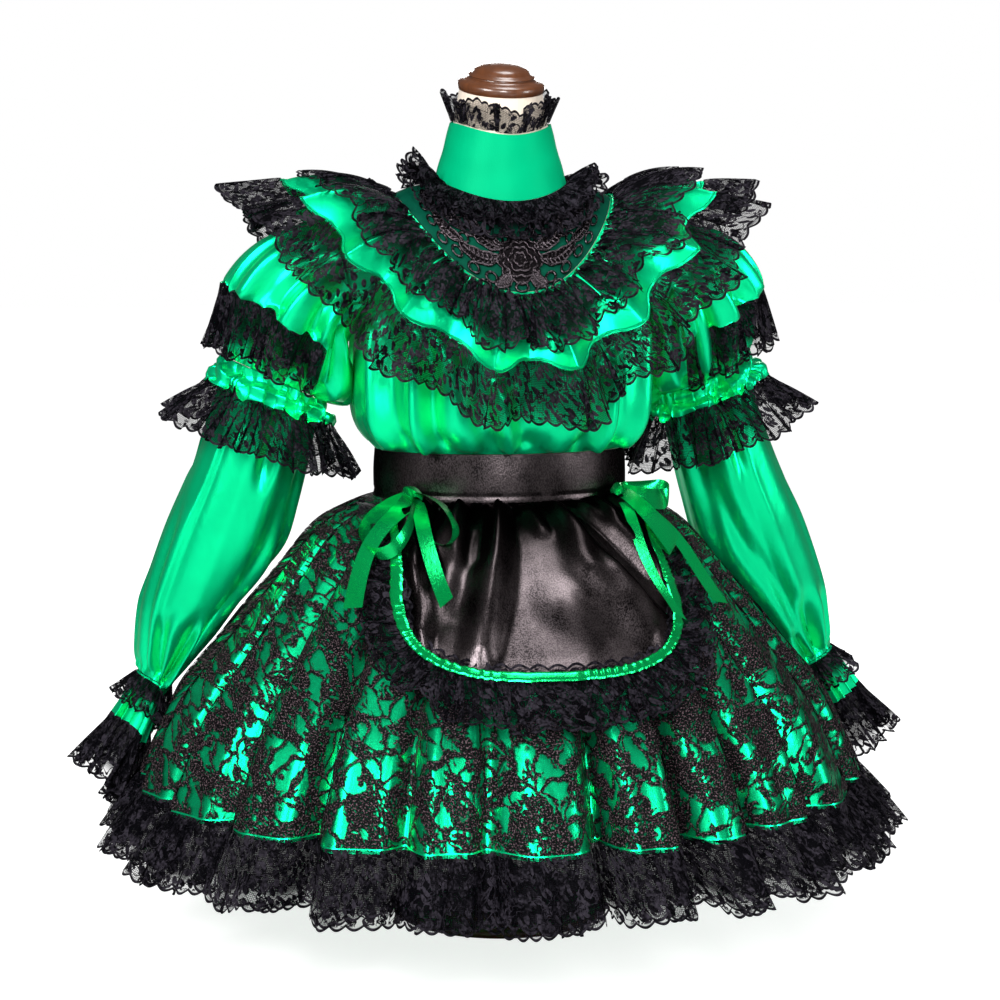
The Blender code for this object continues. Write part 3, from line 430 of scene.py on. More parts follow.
@dataclass(frozen=True)
class LaceCloth:
    """A flowered lace on a fine net, with its UV map in metres and v measured from the free edge."""

    name: str
    flower: float = 0.026
    leaf: float = 0.014
    net_alpha: float = 0.34
    cover: float = 0.5
    scallop: float = 0.0
    scallop_pitch: float = 0.016
    edge_alpha: float = 0.0
    thread: Colour = (0.0013, 0.0012, 0.0020)
    # Painted highlight: the lighter colour that the threads take in random clouds.
    lit: Colour = (0.024, 0.021, 0.028)
    slot: Slot = Slot.LACE

    def make(self) -> bpy.types.Material:
        """Makes the material.

        Returns:
            The material.
        """
        g = Graph(self.name, 0.6, specular=0.02)
        uv = g.position(uv=True)
        u, v, _ = g.split(uv)
        bend = g.noise(uv, 30.0, 2.0)
        flowers = self._flowers(g, uv, bend)
        leaves = self._leaves(g, uv, bend)
        vines = self._vines(g, uv)
        solid = g.math("MAXIMUM", g.math("MAXIMUM", flowers, leaves), vines)
        net = self._net(g, uv)
        if self.edge_alpha:
            deep = g.step(v + (bend - 0.5) * 0.016, 0.014, 0.032)
            thinner = self.edge_alpha / self.net_alpha
            net = net * (thinner + (1.0 - thinner) * deep)
        thread = solid
        if self.scallop:
            wave = g.math("ABSOLUTE", g.math("SINE", u * (math.pi / self.scallop_pitch)))
            depth = v - (1.0 - wave) * self.scallop
            cord = g.step(depth, 0.0052, 0.0030)
            thread = g.math("MAXIMUM", solid * g.step(v, 0.003, 0.010), cord)
        cover = g.math("MAXIMUM", thread, net)
        if self.scallop:
            cover = cover * g.step(depth, -0.0003, 0.0003)
        g.feed("Alpha", cover)
        # Painted highlights: the threads turn to the lit colour in random clouds.
        tone = g.noise(uv, 220.0, 2.0)
        g.feed("Base Color", g.mix(g.step(tone + bend, 0.78, 1.36) * thread, self.thread, self.lit))
        g.bump(thread + tone * 0.35, 0.0012, 0.8)
        return g.material

    def _flowers(self, g: Graph, uv: Value, bend: Value) -> Value:
        """Round flowers with five petals, one in each cell.

        Args:
            g: The graph.
            uv: The UV map.
            bend: A slow noise that makes them uneven.

        Returns:
            The mask.
        """
        scale = 1.0 / self.flower
        cells = g.cells(uv, scale, 0.55)
        scaled = g.position((scale, scale, scale), uv=True)
        centre = g.vector("SCALE", g.out(cells, "Position"), Scale=scale)
        x, y, _ = g.split(g.vector("SUBTRACT", scaled, centre))
        angle = g.math("ARCTAN2", y, x)
        petals = 0.27 + 0.07 * g.math("COSINE", angle * 5.0 + bend * 6.0)
        distance = g.out(cells, "Distance")
        disc = g.step(distance - petals, 0.03, -0.03)
        ring = g.step(g.math("ABSOLUTE", distance - petals * 0.55), 0.015, 0.035)
        return disc * (0.35 + 0.65 * ring) * self.cover * 2.0

    def _leaves(self, g: Graph, uv: Value, bend: Value) -> Value:
        """Slender leaves between the flowers.

        Args:
            g: The graph.
            uv: The UV map.
            bend: A slow noise that turns them.

        Returns:
            The mask.
        """
        u, v, _ = g.split(uv)
        places = {0: u + v * 0.9 + bend * 0.020, 1: (v - u * 0.8) * 0.42}
        turned = g.out(g.node("ShaderNodeCombineXYZ", {}, places))
        return g.step(g.middles(turned, 1.0 / self.leaf, 0.8), 0.34, 0.27) * self.cover * 1.9

    @staticmethod
    def _vines(g: Graph, uv: Value) -> Value:
        """Winding cords that join the motifs."""
        winding = g.noise(uv, 42.0, 1.0, 0.8)
        return g.step(g.math("ABSOLUTE", winding - 0.5), 0.030, 0.016)

    def _net(self, g: Graph, uv: Value) -> Value:
        """The fine net, whose threads blur into a veil at a distance.

        Args:
            g: The graph.
            uv: The UV map.

        Returns:
            The mask.
        """
        holes = g.step(g.edges(uv, 420.0, 0.25), 0.10, 0.22)
        return (1.0 - holes) * min(1.0, self.net_alpha + 0.45) + holes * self.net_alpha ** 1.6


@dataclass(frozen=True)
class CordedLace:
    """The skirt's lace: rough corded bands in a network of long openings, over a fine net."""

    name: str
    opening: float = 0.027
    twig: float = 0.072
    eyelet: float = 0.0075
    net_hole: float = 0.0021
    net_alpha: float = 0.15
    thread: Colour = (0.0022, 0.0017, 0.0024)
    # Painted glint colour of the corded bands.
    glint: Colour = (0.130, 0.092, 0.102)
    slot: Slot = Slot.LACE

    def make(self) -> bpy.types.Material:
        """Makes the material.

        Returns:
            The material.
        """
        g = Graph(self.name, 0.6, specular=0.03)
        uv = g.position(uv=True)
        u, v, _ = g.split(uv)
        slow = g.noise(uv, 24.0, 1.0)
        cross = g.noise(g.position((1.3, 0.8, 1.0), uv=True), 21.0, 1.0)
        fray = g.noise(uv, 170.0, 2.0)
        places = {0: u + slow * 0.050 + fray * 0.008, 1: (v + cross * 0.050 + fray * 0.007) * 0.68}
        warped = g.out(g.node("ShaderNodeCombineXYZ", {}, places))
        width = self.twig * (0.4 + 1.4 * g.noise(uv, 60.0, 1.0))
        twigs = g.step(g.edges(warped, 1.0 / self.opening) - width, 0.02, -0.02)
        cloud = g.noise(g.position((1.0, 0.72, 1.0), uv=True), 27.0, 3.5, 0.9)
        clumps = g.step(cloud, 0.468, 0.500)
        eyelets = g.step(g.middles(warped, 1.0 / self.eyelet), 0.20, 0.34)
        thin = g.step(cloud, 0.62, 0.54)
        clumps = clumps * (1.0 - thin * (1.0 - eyelets))
        rough = g.noise(uv, 420.0, 2.0)
        solid = g.math("MAXIMUM", twigs, clumps)
        threads = g.step(g.edges(uv, 1.0 / self.net_hole), 0.16, 0.06)
        mesh = self.net_alpha * 0.5 + threads * (self.net_alpha + 0.30)
        g.feed("Alpha", g.math("MAXIMUM", solid * (0.82 + 0.18 * g.step(rough, 0.38, 0.48)), mesh))
        # Painted glints: the bands turn towards the glint colour in small random specks.
        shine = g.step(rough, 0.53, 0.66) * solid
        g.feed("Base Color", g.mix(shine * 0.8, self.thread, self.glint))
        g.bump(solid * (0.4 + 0.6 * rough), 0.0016, 0.9)
        return g.material


@dataclass(frozen=True)
class Wood:
    """Dark polished wood, turned round its axis."""

    name: str = "scene_turned_wood"
    slot: Slot = Slot.WOOD

    def make(self) -> bpy.types.Material:
        """Makes the material.

        Returns:
            The material.
        """
        g = Graph(self.name, 0.30, specular=0.5)
        g.feed("Coat Weight", 0.5)
        g.feed("Coat Roughness", 0.12)
        grain = g.noise(g.position((60.0, 60.0, 9.0)), 1.4, 4.0, 1.2)
        pores = g.noise(g.position((700.0, 700.0, 60.0)), 1.0, 2.0)
        blotch = g.noise(g.position(), 16.0, 3.0)
        tone = g.mix(grain, (0.026, 0.008, 0.0035), (0.160, 0.050, 0.014))
        g.feed("Base Color", g.mix(blotch * 0.5, tone, (0.090, 0.028, 0.009)))
        g.feed("Roughness", 0.22 + 0.20 * pores)
        g.bump(grain * 0.5 + pores * 0.5, 0.0005, 0.5)
        return g.material


@dataclass(frozen=True)
class Linen:
    """The dress form's plain cream cover."""

    name: str = "scene_form_linen"
    thread: float = 2600.0
    slot: Slot = Slot.LINEN

    def make(self) -> bpy.types.Material:
        """Makes the material.

        Returns:
            The material.
        """
        g = Graph(self.name, 0.85, specular=0.2, sheen=0.2)
        x, y, z = [g.math("SINE", part * self.thread) for part in g.split(g.position())]
        weave = x * z + y * 0.5
        stain = g.noise(g.position(), 9.0, 4.0)
        g.feed("Base Color", g.mix(stain, (0.72, 0.60, 0.48), (0.86, 0.77, 0.66)))
        g.bump(0.5 + 0.25 * weave, 0.0004, 0.6)
        return g.material


@dataclass(frozen=True)
class Paper:
    """The studio's pale floor."""

    name: str = "stage_paper"

    def make(self) -> bpy.types.Material:
        """Makes the material.

        Returns:
            The material.
        """
        g = Graph(self.name, 0.9, specular=0.1)
        fibre = g.noise(g.position(), 60.0, 3.0)
        g.feed("Base Color", g.mix(fibre, (0.54, 0.54, 0.54), (0.56, 0.56, 0.56)))
        x, y, _ = g.split(g.position())
        far = g.step(g.math("SQRT", x * x + y * y), 0.8, 2.6)
        seen = g.out(g.node("ShaderNodeLightPath", {}, {}), "Is Camera Ray")
        white = g.mix(far, (0.80, 0.80, 0.80), (1.0, 1.0, 1.0))
        g.feed("Emission Color", g.mix(seen, (0.0, 0.0, 0.0), white))
        g.feed("Emission Strength", 1.0)
        return g.material


def ring_points(rows: Array, bearing: Array) -> Array:
    """Points of rings at bearings in degrees. A ring dips from its side to its front and back.

    Args:
        rows: Ring values in the last axis.
        bearing: Bearings of the same shape as the rest.

    Returns:
        The points.
    """
    a = np.radians(bearing)
    s, c = np.sin(a), np.cos(a)
    power = 2 / rows[..., 6]
    y = np.where(c > 0, rows[..., 2], rows[..., 4])
    low = np.where(c > 0, rows[..., 3], rows[..., 5])
    x = rows[..., 0] * np.sign(s) * np.abs(s) ** power
    return np.stack((x, y * np.abs(c) ** power, rows[..., 1] * s * s + low * c * c), axis=-1)


def through(table: Array, t: Array, make: Callable[[Array], Array]) -> Array:
    """make(row) carried smoothly through a table's rows.

    Args:
        table: The rows.
        t: Row numbers.
        make: What is made of a row's values, such as points.

    Returns:
        The result at each row number.
    """
    last = len(table) - 1
    i = np.clip(np.floor(t).astype(int), 0, last - 1)
    f = (t - i)[..., None]
    a, b = make(table[i]), make(table[i + 1])
    before = np.where((i > 0)[..., None], make(table[np.maximum(i - 1, 0)]), 2 * a - b)
    after = np.where((i + 2 <= last)[..., None], make(table[np.minimum(i + 2, last)]), 2 * b - a)
    slope_a, slope_b = (b - before) / 2, (after - a) / 2
    f2, f3 = f * f, f * f * f
    rise = 3 * f2 - 2 * f3
    return (1 - rise) * a + rise * b + (f3 - 2 * f2 + f) * slope_a + (f3 - f2) * slope_b


def unit(vectors: Array) -> Array:
    """Vectors made one metre long."""
    return vectors / np.maximum(np.linalg.norm(vectors, axis=-1, keepdims=True), TINY)


def ramp(distance: Array, length: float) -> Array:
    """A straight rise from 0 to 1 over a length."""
    return np.clip(distance / length, 0, 1)


def hump(distance: Array, width: float) -> Array:
    """A round hump of height 1."""
    return np.exp(-(distance / width) ** 2)


def way_round(bearing: Array) -> Array:
    """The share of the way round the dress, from its back."""
    return bearing / 360 + 0.5


def lifted(surface: Surface, t: Array, turn: Array, lift: Union[Array, float],
           turn_step: float = TURN_STEP) -> Array:
    """Points of a surface moved out from it.

    Args:
        surface: The surface.
        t: Row numbers.
        turn: Turns or bearings in degrees.
        lift: How far out, in metres.
        turn_step: The step that finds the surface's direction.

    Returns:
        The points.
    """
    down = surface(t + ROW_STEP, turn) - surface(t - ROW_STEP, turn)
    along = surface(t, turn + turn_step) - surface(t, turn - turn_step)
    return surface(t, turn) + unit(np.cross(down, along)) * np.broadcast_to(lift, t.shape)[..., None]


def waves(share: Array, count: float, seed: float) -> Array:
    """The CAD source's uneven ruffle waves.

    Args:
        share: Share of the way round.
        count: How many waves.
        seed: Which waves.

    Returns:
        Heights from -1 to 1.
    """
    slow = 0.10 * np.sin(2 * np.pi * (2 * share + seed))
    quick = 0.06 * np.sin(2 * np.pi * (5 * share + 2 * seed))
    return np.cos(2 * np.pi * (count * share + slow + quick + seed))


def outwards(bearing: Array) -> Array:
    """Level directions out from the dress's axis."""
    a = np.radians(bearing)
    return np.stack((np.sin(a), -np.cos(a), np.zeros_like(a)), axis=-1)


def net_of(first_row: float, last_row: float, rows: int, first: float, last: float, columns: int) -> tuple:
    """Row numbers and turns of a grid."""
    t, turn = np.linspace(first_row, last_row, rows), np.linspace(first, last, columns)
    return np.meshgrid(t, turn, indexing="ij")


def round_net(first_row: float, last_row: float, rows: int, columns: int) -> tuple:
    """Row numbers and bearings of a grid round the dress, open at the back."""
    return net_of(first_row, last_row, rows, -BACK_EDGE, BACK_EDGE, columns)


def moved(grid: Array, out: Array, sideways: Union[Array, float] = 0.0, closed: bool = False) -> Array:
    """A grid's points moved out from their sheet and along it.

    Args:
        grid: Points, rows by columns.
        out: Distance out, in metres.
        sideways: Distance along the rows, in metres.
        closed: Whether the grid is a closed ring.

    Returns:
        The moved grid.
    """
    down = np.gradient(grid, axis=0)
    if closed:
        along = np.roll(grid, -1, axis=1) - np.roll(grid, 1, axis=1)
    else:
        along = np.gradient(grid, axis=1)
    side = np.broadcast_to(sideways, out.shape)
    return grid + unit(np.cross(down, along)) * out[..., None] + unit(along) * side[..., None]


@dataclass(frozen=True)
class Gathers:
    """Uneven folds across a gathered strip."""

    count: float
    depth: float
    seed: float = 0.0
    sway: float = 0.35
    uneven: float = 0.30
    lean: float = 0.0

    def phase(self, share: Array) -> Array:
        """Where each place lies on its fold.

        Args:
            share: Share of the way along the strip.

        Returns:
            The phase, in radians.
        """
        s = self.seed
        drift = self.uneven * np.sin(2 * np.pi * (3 * share + s))
        drift += 0.5 * self.uneven * np.sin(2 * np.pi * (7 * share + 2.1 * s + 0.3))
        drift += 0.3 * self.uneven * np.sin(2 * np.pi * (13 * share + 5.3 * s))
        return 2 * np.pi * (self.count * share + drift + s)

    def height(self, share: Array) -> Array:
        """The folds' height.

        Args:
            share: Share of the way along the strip.

        Returns:
            Heights of about -1 to 1.
        """
        phase = self.phase(share)
        strong = 0.78 + 0.22 * np.sin(2 * np.pi * (5 * share + 3.7 * self.seed))
        return strong * (np.cos(phase) + 0.22 * np.cos(2 * phase + 1.0))

    def apply(self, grid: Array, share: Array, growth: Array, closed: bool = False) -> Array:
        """Folds a grid.

        Args:
            grid: Points, rows by columns.
            share: Share of the way along the strip, for each point.
            growth: How far the folds have grown at each point, from 0 to 1.
            closed: Whether the grid is a closed ring.

        Returns:
            The folded grid.
        """
        out = self.depth * growth * self.height(share)
        phase = self.phase(share)
        sideways = -self.depth * growth * (self.sway * np.sin(2 * phase) + self.lean * np.sin(phase))
        return moved(grid, out, sideways, closed)


@dataclass(frozen=True)
class Crease:
    """A soft fold placed from one place on a sheet to another: a ridge with a trough beside it."""

    turn: float
    row: float
    turn_end: float
    row_end: float
    width: float
    depth: float

    def height(self, turn: Array, row: Array) -> Array:
        """The fold's height.

        Args:
            turn: Places across the sheet, in the crease's own units.
            row: Places down the sheet, in the same units.

        Returns:
            The height, in metres.
        """
        dx, dy = self.turn_end - self.turn, self.row_end - self.row
        length = math.hypot(dx, dy)
        along = ((turn - self.turn) * dx + (row - self.row) * dy) / length ** 2
        aside = ((row - self.row) * dx - (turn - self.turn) * dy) / length / self.width
        fade = np.clip(1 - np.maximum(0, np.abs(along - 0.5) - 0.30) / 0.30, 0, 1)
        fade = fade * fade * (3 - 2 * fade)
        ridge = np.exp(-aside ** 2) - 0.55 * np.exp(-((aside - 1.7) / 0.9) ** 2)
        return self.depth * fade * ridge


def uneven(share: Array, seed: float) -> Array:
    """An uneven length along a frill."""
    slow = np.sin(2 * np.pi * (11 * share + seed) + 1.4 * np.sin(2 * np.pi * (4 * share + seed)))
    return 0.6 * slow + 0.4 * np.sin(2 * np.pi * (23 * share + 2.7 * seed))


def creased(creases: Sequence[Crease], turn: Array, row: Array) -> Array:
    """The height of several creases together, in metres."""
    return sum(crease.height(turn, row) for crease in creases)


def ring_at(ring: Array, bearing: Array) -> Array:
    """One ring's points."""
    return ring_points(np.broadcast_to(ring, (*bearing.shape, len(Ring._fields))), bearing)


def body_surface(t: Array, bearing: Array) -> Array:
    """The body cloth."""
    return through(BODY, t, lambda rows: ring_points(rows, bearing))


def collar_surface(t: Array, bearing: Array) -> Array:
    """The stand collar, 0 at its top and 1 at the neck seam."""
    base = ring_at(BODY[0], bearing) + np.array((0, 0, SATIN / 2 + SEAM))
    return (1 - t[..., None]) * ring_at(COLLAR_TOP, bearing) + t[..., None] * base


def bertha_base(t: Array, bearing: Array) -> Array:
    """The flounce without its waves, 0 at the yoke seam and 1 at its hem.

    Args:
        t: Row numbers.
        bearing: Bearings in degrees.

    Returns:
        Points.
    """
    seam = np.full_like(t, YOKE_SEAM + 0.06)
    root = lifted(body_surface, seam, bearing, SATIN + LIE)
    mid, hem = ring_at(BERTHA_MID, bearing), ring_at(BERTHA_HEM, bearing)
    t = t[..., None]
    return (1 - t) * (1 - 2 * t) * root + 4 * t * (1 - t) * mid + t * (2 * t - 1) * hem


def between(folds: Sequence[Pleat], bearing: Array) -> tuple[Array, Array]:
    """Where bearings lie between the folds round a piece.

    Args:
        folds: The folds, in order round it.
        bearing: Bearings in degrees.

    Returns:
        The share of the way from one fold to the next, and the depth there.
    """
    place, depth = np.zeros_like(bearing), np.ones_like(bearing)
    for fold, after in zip(folds, folds[1:] + folds[:1]):
        share = ((bearing - fold.bearing) % 360) / ((after.bearing - fold.bearing) % 360)
        inside = share < 1
        place = np.where(inside, share, place)
        depth = np.where(inside, (1 - share) * fold.depth + share * after.depth, depth)
    return place, depth


def pleat_height(bearing: Array) -> Array:
    """The skirt's pleats, narrow troughs between broad round crests: -1 in a trough of depth 1."""
    share, depth = between(PLEATS, bearing)
    return depth * (0.62 - 1.62 * np.abs(np.cos(np.pi * share)) ** 7)


def skirt_row(t: Array) -> Array:
    """The skirt's row values."""
    return through(SKIRT, t, lambda rows: rows)


def bell(t: Array, bearing: Array, grow: Array) -> Array:
    """A point of the skirt's bell, grown outwards.

    Args:
        t: Row numbers.
        bearing: Bearings in degrees.
        grow: How far out, in metres.

    Returns:
        The points.
    """
    row = skirt_row(t)
    zeros = np.zeros_like(grow)
    reach = np.stack((row[..., 1] + grow, row[..., 2] + grow, zeros), axis=-1)
    return outwards(bearing) * reach + np.stack((zeros, zeros, row[..., 0]), axis=-1)


def crest_surface(t: Array, bearing: Array) -> Array:
    """The bell that runs over the pleats' crests."""
    return bell(t, bearing, CREST * skirt_row(t)[..., 3])


def skirt_row_at(down: Array) -> Array:
    """Row numbers at lengths down the skirt's front.

    Args:
        down: Lengths down the skirt's front, in metres.

    Returns:
        Row numbers.
    """
    steps = np.linspace(0, len(SKIRT) - 1, 41)
    rows = skirt_row(steps)
    lengths = np.concatenate(([0], np.cumsum(np.hypot(np.diff(rows[:, 0]), np.diff(rows[:, 2])))))
    return np.interp(down, lengths, steps)


def over_skirt(along: Array, down: Array, lift: Union[Array, float]) -> Array:
    """Points over the crests.

    Args:
        along: Lengths towards the dress's left.
        down: Lengths down the skirt's front, in metres.
        lift: How far out, in metres.

    Returns:
        Points.
    """
    t = skirt_row_at(down)
    s = np.clip((along + APRON_SHIFT) / skirt_row(t)[..., 1], -SKIRT_SIDE, SKIRT_SIDE)
    return lifted(crest_surface, t, np.degrees(np.arcsin(s)), lift)


def apron_edge(s: Array) -> tuple[Array, Array]:
    """The apron's edge, from its right top corner at -1 round the bottom to its left one at 1.

    Args:
        s: Places on the edge.

    Returns:
        Lengths along and down the skirt.
    """
    side, size = np.sign(s), np.abs(s)
    up = (size - APRON_CORNER) / (1 - APRON_CORNER)
    a = np.clip(size / APRON_CORNER, 0, 1) * np.pi / 2
    straight = size > APRON_CORNER
    half = APRON_HALF * np.sin(a) ** APRON_ROUND
    half = np.where(straight, APRON_HALF + up * (APRON_TOP_HALF - APRON_HALF), half)
    low = APRON_SIDE + (APRON_LENGTH - APRON_SIDE) * np.maximum(np.cos(a), 0) ** APRON_ROUND
    down = np.where(straight, APRON_SIDE + up * (APRON_TUCK - APRON_SIDE), low)
    return side * half, down


def beside_apron(s: Array, distance: Array) -> tuple[Array, Array]:
    """Places at a distance outside the apron's edge.

    Args:
        s: Places on the edge.
        distance: Distance outside it.

    Returns:
        Lengths along and down the skirt.
    """
    ahead = apron_edge(np.minimum(s + EDGE_STEP, 1))
    behind = apron_edge(np.maximum(s - EDGE_STEP, -1))
    dx, dy = ahead[0] - behind[0], ahead[1] - behind[1]
    length = np.hypot(dx, dy)
    along, down = apron_edge(s)
    return along - dy / length * distance, down + dx / length * distance


def sleeve_rings(rows: Array, turn: Array) -> Array:
    """Points of sleeve rings: turn is 0 at the outer side and 90 degrees at the back.

    Args:
        rows: Sleeve row values in the last axis.
        turn: Turns in degrees.

    Returns:
        The points, for the +X side.
    """
    dip, a = np.radians(rows[..., 3]), np.radians(turn)
    up = np.stack((np.sin(dip), np.zeros_like(dip), np.cos(dip)), axis=-1)
    side = (rows[..., 5] * np.sin(a))[..., None] * np.array((0.0, 1.0, 0.0))
    return rows[..., :3] + (rows[..., 4] * np.cos(a))[..., None] * up + side


def off_the_skirt(points: Array) -> Array:
    """Moves hanging points smoothly out until they clear the skirt.

    Args:
        points: The points.

    Returns:
        The moved points.
    """
    fold = SKIRT[:, 3]
    table = np.stack((SKIRT[:, 0], SKIRT[:, 1] + fold, SKIRT[:, 2] + fold), axis=1)
    low = (LACE_HEM_Z, table[-1, 1] + LACE_FLARE, table[-1, 2] + LACE_FLARE)
    table = np.vstack((table, low))[::-1]
    width = np.interp(points[..., 2], table[:, 0], table[:, 1]) + HANG_CLEARANCE
    depth = np.interp(points[..., 2], table[:, 0], table[:, 2]) + HANG_CLEARANCE
    share = np.hypot(points[..., 0] / width, points[..., 1] / depth)
    ratio = (1 + HANG_SOFTNESS * np.log1p(np.exp((share - 1) / HANG_SOFTNESS))) / share
    return points * np.stack((ratio, ratio, np.ones_like(ratio)), axis=-1)


def arc_lengths(grid: Array, axis: int) -> Array:
    """Lengths run along a grid's rows or columns.

    Args:
        grid: Points, rows by columns.
        axis: 0 down the columns, 1 along the rows.

    Returns:
        The length run at each point.
    """
    steps = np.linalg.norm(np.diff(grid, axis=axis), axis=2)
    shape = [(0, 0), (0, 0)]
    shape[axis] = (1, 0)
    return np.pad(np.cumsum(steps, axis=axis), shape)


def drawn_from(root: Array, lace: Array, t: Array) -> Array:
    """A lace whose first rows bend away from the edge that it is sewn on to.

    Args:
        root: The edge's points, as one row.
        lace: The lace's points.
        t: Shares of the way down the lace.

    Returns:
        The points.
    """
    blend = np.clip(1 - t / LACE_BLEND, 0, 1)[..., None]
    return lace * (1 - blend) + root * blend


# Shaded and lit copies of the green, mixed into the satin's painted sheen.
GREEN_SHADE, GREEN_LIGHT = (0.0, 0.68, 0.26), (0.0, 1.0, 0.40)
BLACK_WEAVE = (0.30, 1.0, 0.0004, 22.0, 0.00025, 0.3, 620.0)


class Look(Enum):
    """Every finish of the dress and its form."""

    GREEN = Satin("scene_green_satin", GREEN_SHADE, GREEN_LIGHT)
    HEMMED = Satin("scene_hemmed_satin", GREEN_SHADE, GREEN_LIGHT, hem=True)
    COLLAR = Satin(
        "scene_collar_satin", (0.0, 0.33, 0.140), (0.0, 0.39, 0.168), 0.5, 0.12, 0.0005, specular=0.02
    )
    YOKE = Satin(
        "scene_yoke_satin", (0.0, 0.045, 0.025), (0.0, 0.068, 0.038), 0.7, 0.0, 0.0002, specular=0.05
    )
    # Painted sheen: a shaded and a lit black in sheen patches and glinting grain.
    BLACK = Satin(
        "scene_black_satin", (0.006, 0.005, 0.0055), (0.076, 0.063, 0.066), *BLACK_WEAVE,
        painted_sheen=0.45, slot=Slot.BLACK,
    )
    # Painted sheen as on the black satin, and painted shade towards the top under the waistband.
    APRON = Satin(
        "scene_apron_satin", (0.005, 0.004, 0.0045), (0.108, 0.090, 0.094), *BLACK_WEAVE,
        painted_shade_height=0.585, painted_sheen=0.42, slot=Slot.BLACK,
    )
    RIBBON = Satin(
        "scene_green_ribbon", (0.0, 0.40, 0.085), (0.002, 0.62, 0.150), 0.22, 0.80, 0.0003, 120.0,
        specular=0.35, slot=Slot.RIBBON,
    )
    CORD = Satin(
        "scene_black_cord", (0.012, 0.010, 0.012), (0.075, 0.062, 0.069), 0.20, 1.0, 0.0006, 420.0,
        specular=0.3, slot=Slot.LACE,
    )
    OVERLAY = CordedLace("scene_skirt_lace")
    TRIM = LaceCloth("scene_trim_lace", 0.029, 0.0135, 0.42, 0.55, 0.006, 0.024)
    DENSE = LaceCloth("scene_dense_lace", 0.026, 0.015, 0.86, 0.8, 0.006, 0.024, 0.26)
    VEIL = LaceCloth("scene_flounce_lace", 0.029, 0.0145, 0.72, 0.7, 0.006, 0.024, 0.30)
    SOFT = LaceCloth("scene_apron_lace", 0.030, 0.018, 0.50, 0.6, 0.004, 0.021, 0.34)
    FRILL = LaceCloth("scene_collar_lace", 0.022, 0.012, 0.30, 0.6, 0.004, 0.014)
    WOOD = Wood()
    LINEN = Linen()

    @property
    def material(self) -> bpy.types.Material:
        """The finish's material, made when it is first used."""
        return bpy.data.materials.get(self.value.name) or self.value.make()


def ride(piece: bpy.types.Object, look: Look, replaces: str = "") -> None:
    """Dresses a piece and joins it to the frame.

    Args:
        piece: The piece.
        look: Its finish.
        replaces: The CAD node that it stands for.
    """
    piece.data.materials.append(look.material)
    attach(piece, "root")
    if replaces:
        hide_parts(replaces)
    log.info("%s: %d faces", piece.name, len(piece.data.polygons))


def smooth_piece(name: str, points: list, faces: list) -> bpy.types.Object:
    """A smooth-shaded mesh at the origin.

    Args:
        name: Its name.
        points: Its points.
        faces: Its faces.

    Returns:
        The object.
    """
    mesh = bpy.data.meshes.new(name)
    mesh.from_pydata(points, [], faces)
    mesh.shade_smooth()
    piece = bpy.data.objects.new(name, mesh)
    bpy.context.scene.collection.objects.link(piece)
    return piece


@dataclass(frozen=True)
class Sheet:
    """One sheet of cloth through a grid of points."""

    name: str
    look: Look
    replaces: str = ""
    rests_on: tuple[str, ...] = ()
    held: Held = Held.GATHERED
    grain: Grain = Grain.EVEN
    closed: bool = False

    def make(self, grid: Array) -> None:
        """Args:
            grid: Points, rows by columns. A closed grid leaves out its repeated last column.
        """
        full = np.concatenate((grid, grid[:, :1]), axis=1) if self.closed else grid
        rows, columns = full.shape[:2]
        count = grid.shape[1]
        i, j = np.meshgrid(np.arange(rows - 1), np.arange(columns - 1), indexing="ij")
        corners = [(i, j), (i + 1, j), (i + 1, j + 1), (i, j + 1)]
        faces = np.stack([(a * count + b % count).ravel() for a, b in corners], axis=1)
        piece = smooth_piece(self.name, grid.reshape(-1, 3).tolist(), faces.tolist())
        u, v = self._grain(full)
        layer = piece.data.uv_layers.new(name="grain")
        places = [np.stack((u[a, b].ravel(), v[a, b].ravel()), axis=1) for a, b in corners]
        layer.data.foreach_set("uv", np.stack(places, axis=1).ravel())
        ride(piece, self.look, self.replaces)
        self._declare(piece, full)

    def _grain(self, full: Array) -> tuple[Array, Array]:
        """The pattern's place at each point.

        Args:
            full: The grid with its last column.

        Returns:
            The way along, and the distance from the free edge.
        """
        run = arc_lengths(full, 1)
        down = arc_lengths(full, 0)
        v = down[-1:] - down
        if self.grain is Grain.GATHERED:
            return np.broadcast_to(run[-1:], run.shape), v
        middle = run[:, run.shape[1] // 2][:, None]
        return run - middle, v

    def _declare(self, piece: bpy.types.Object, full: Array) -> None:
        """Args:
            piece: The object.
            full: The grid with its last column.
        """
        width = float(arc_lengths(full, 1)[:, -1].max())
        length = float(arc_lengths(full, 0)[-1].max())
        area = float(sum(face.area for face in piece.data.polygons))
        area = min(max(area, LEAST_AREA_SHARE * width * length), width * length)
        list(self.rests_on)


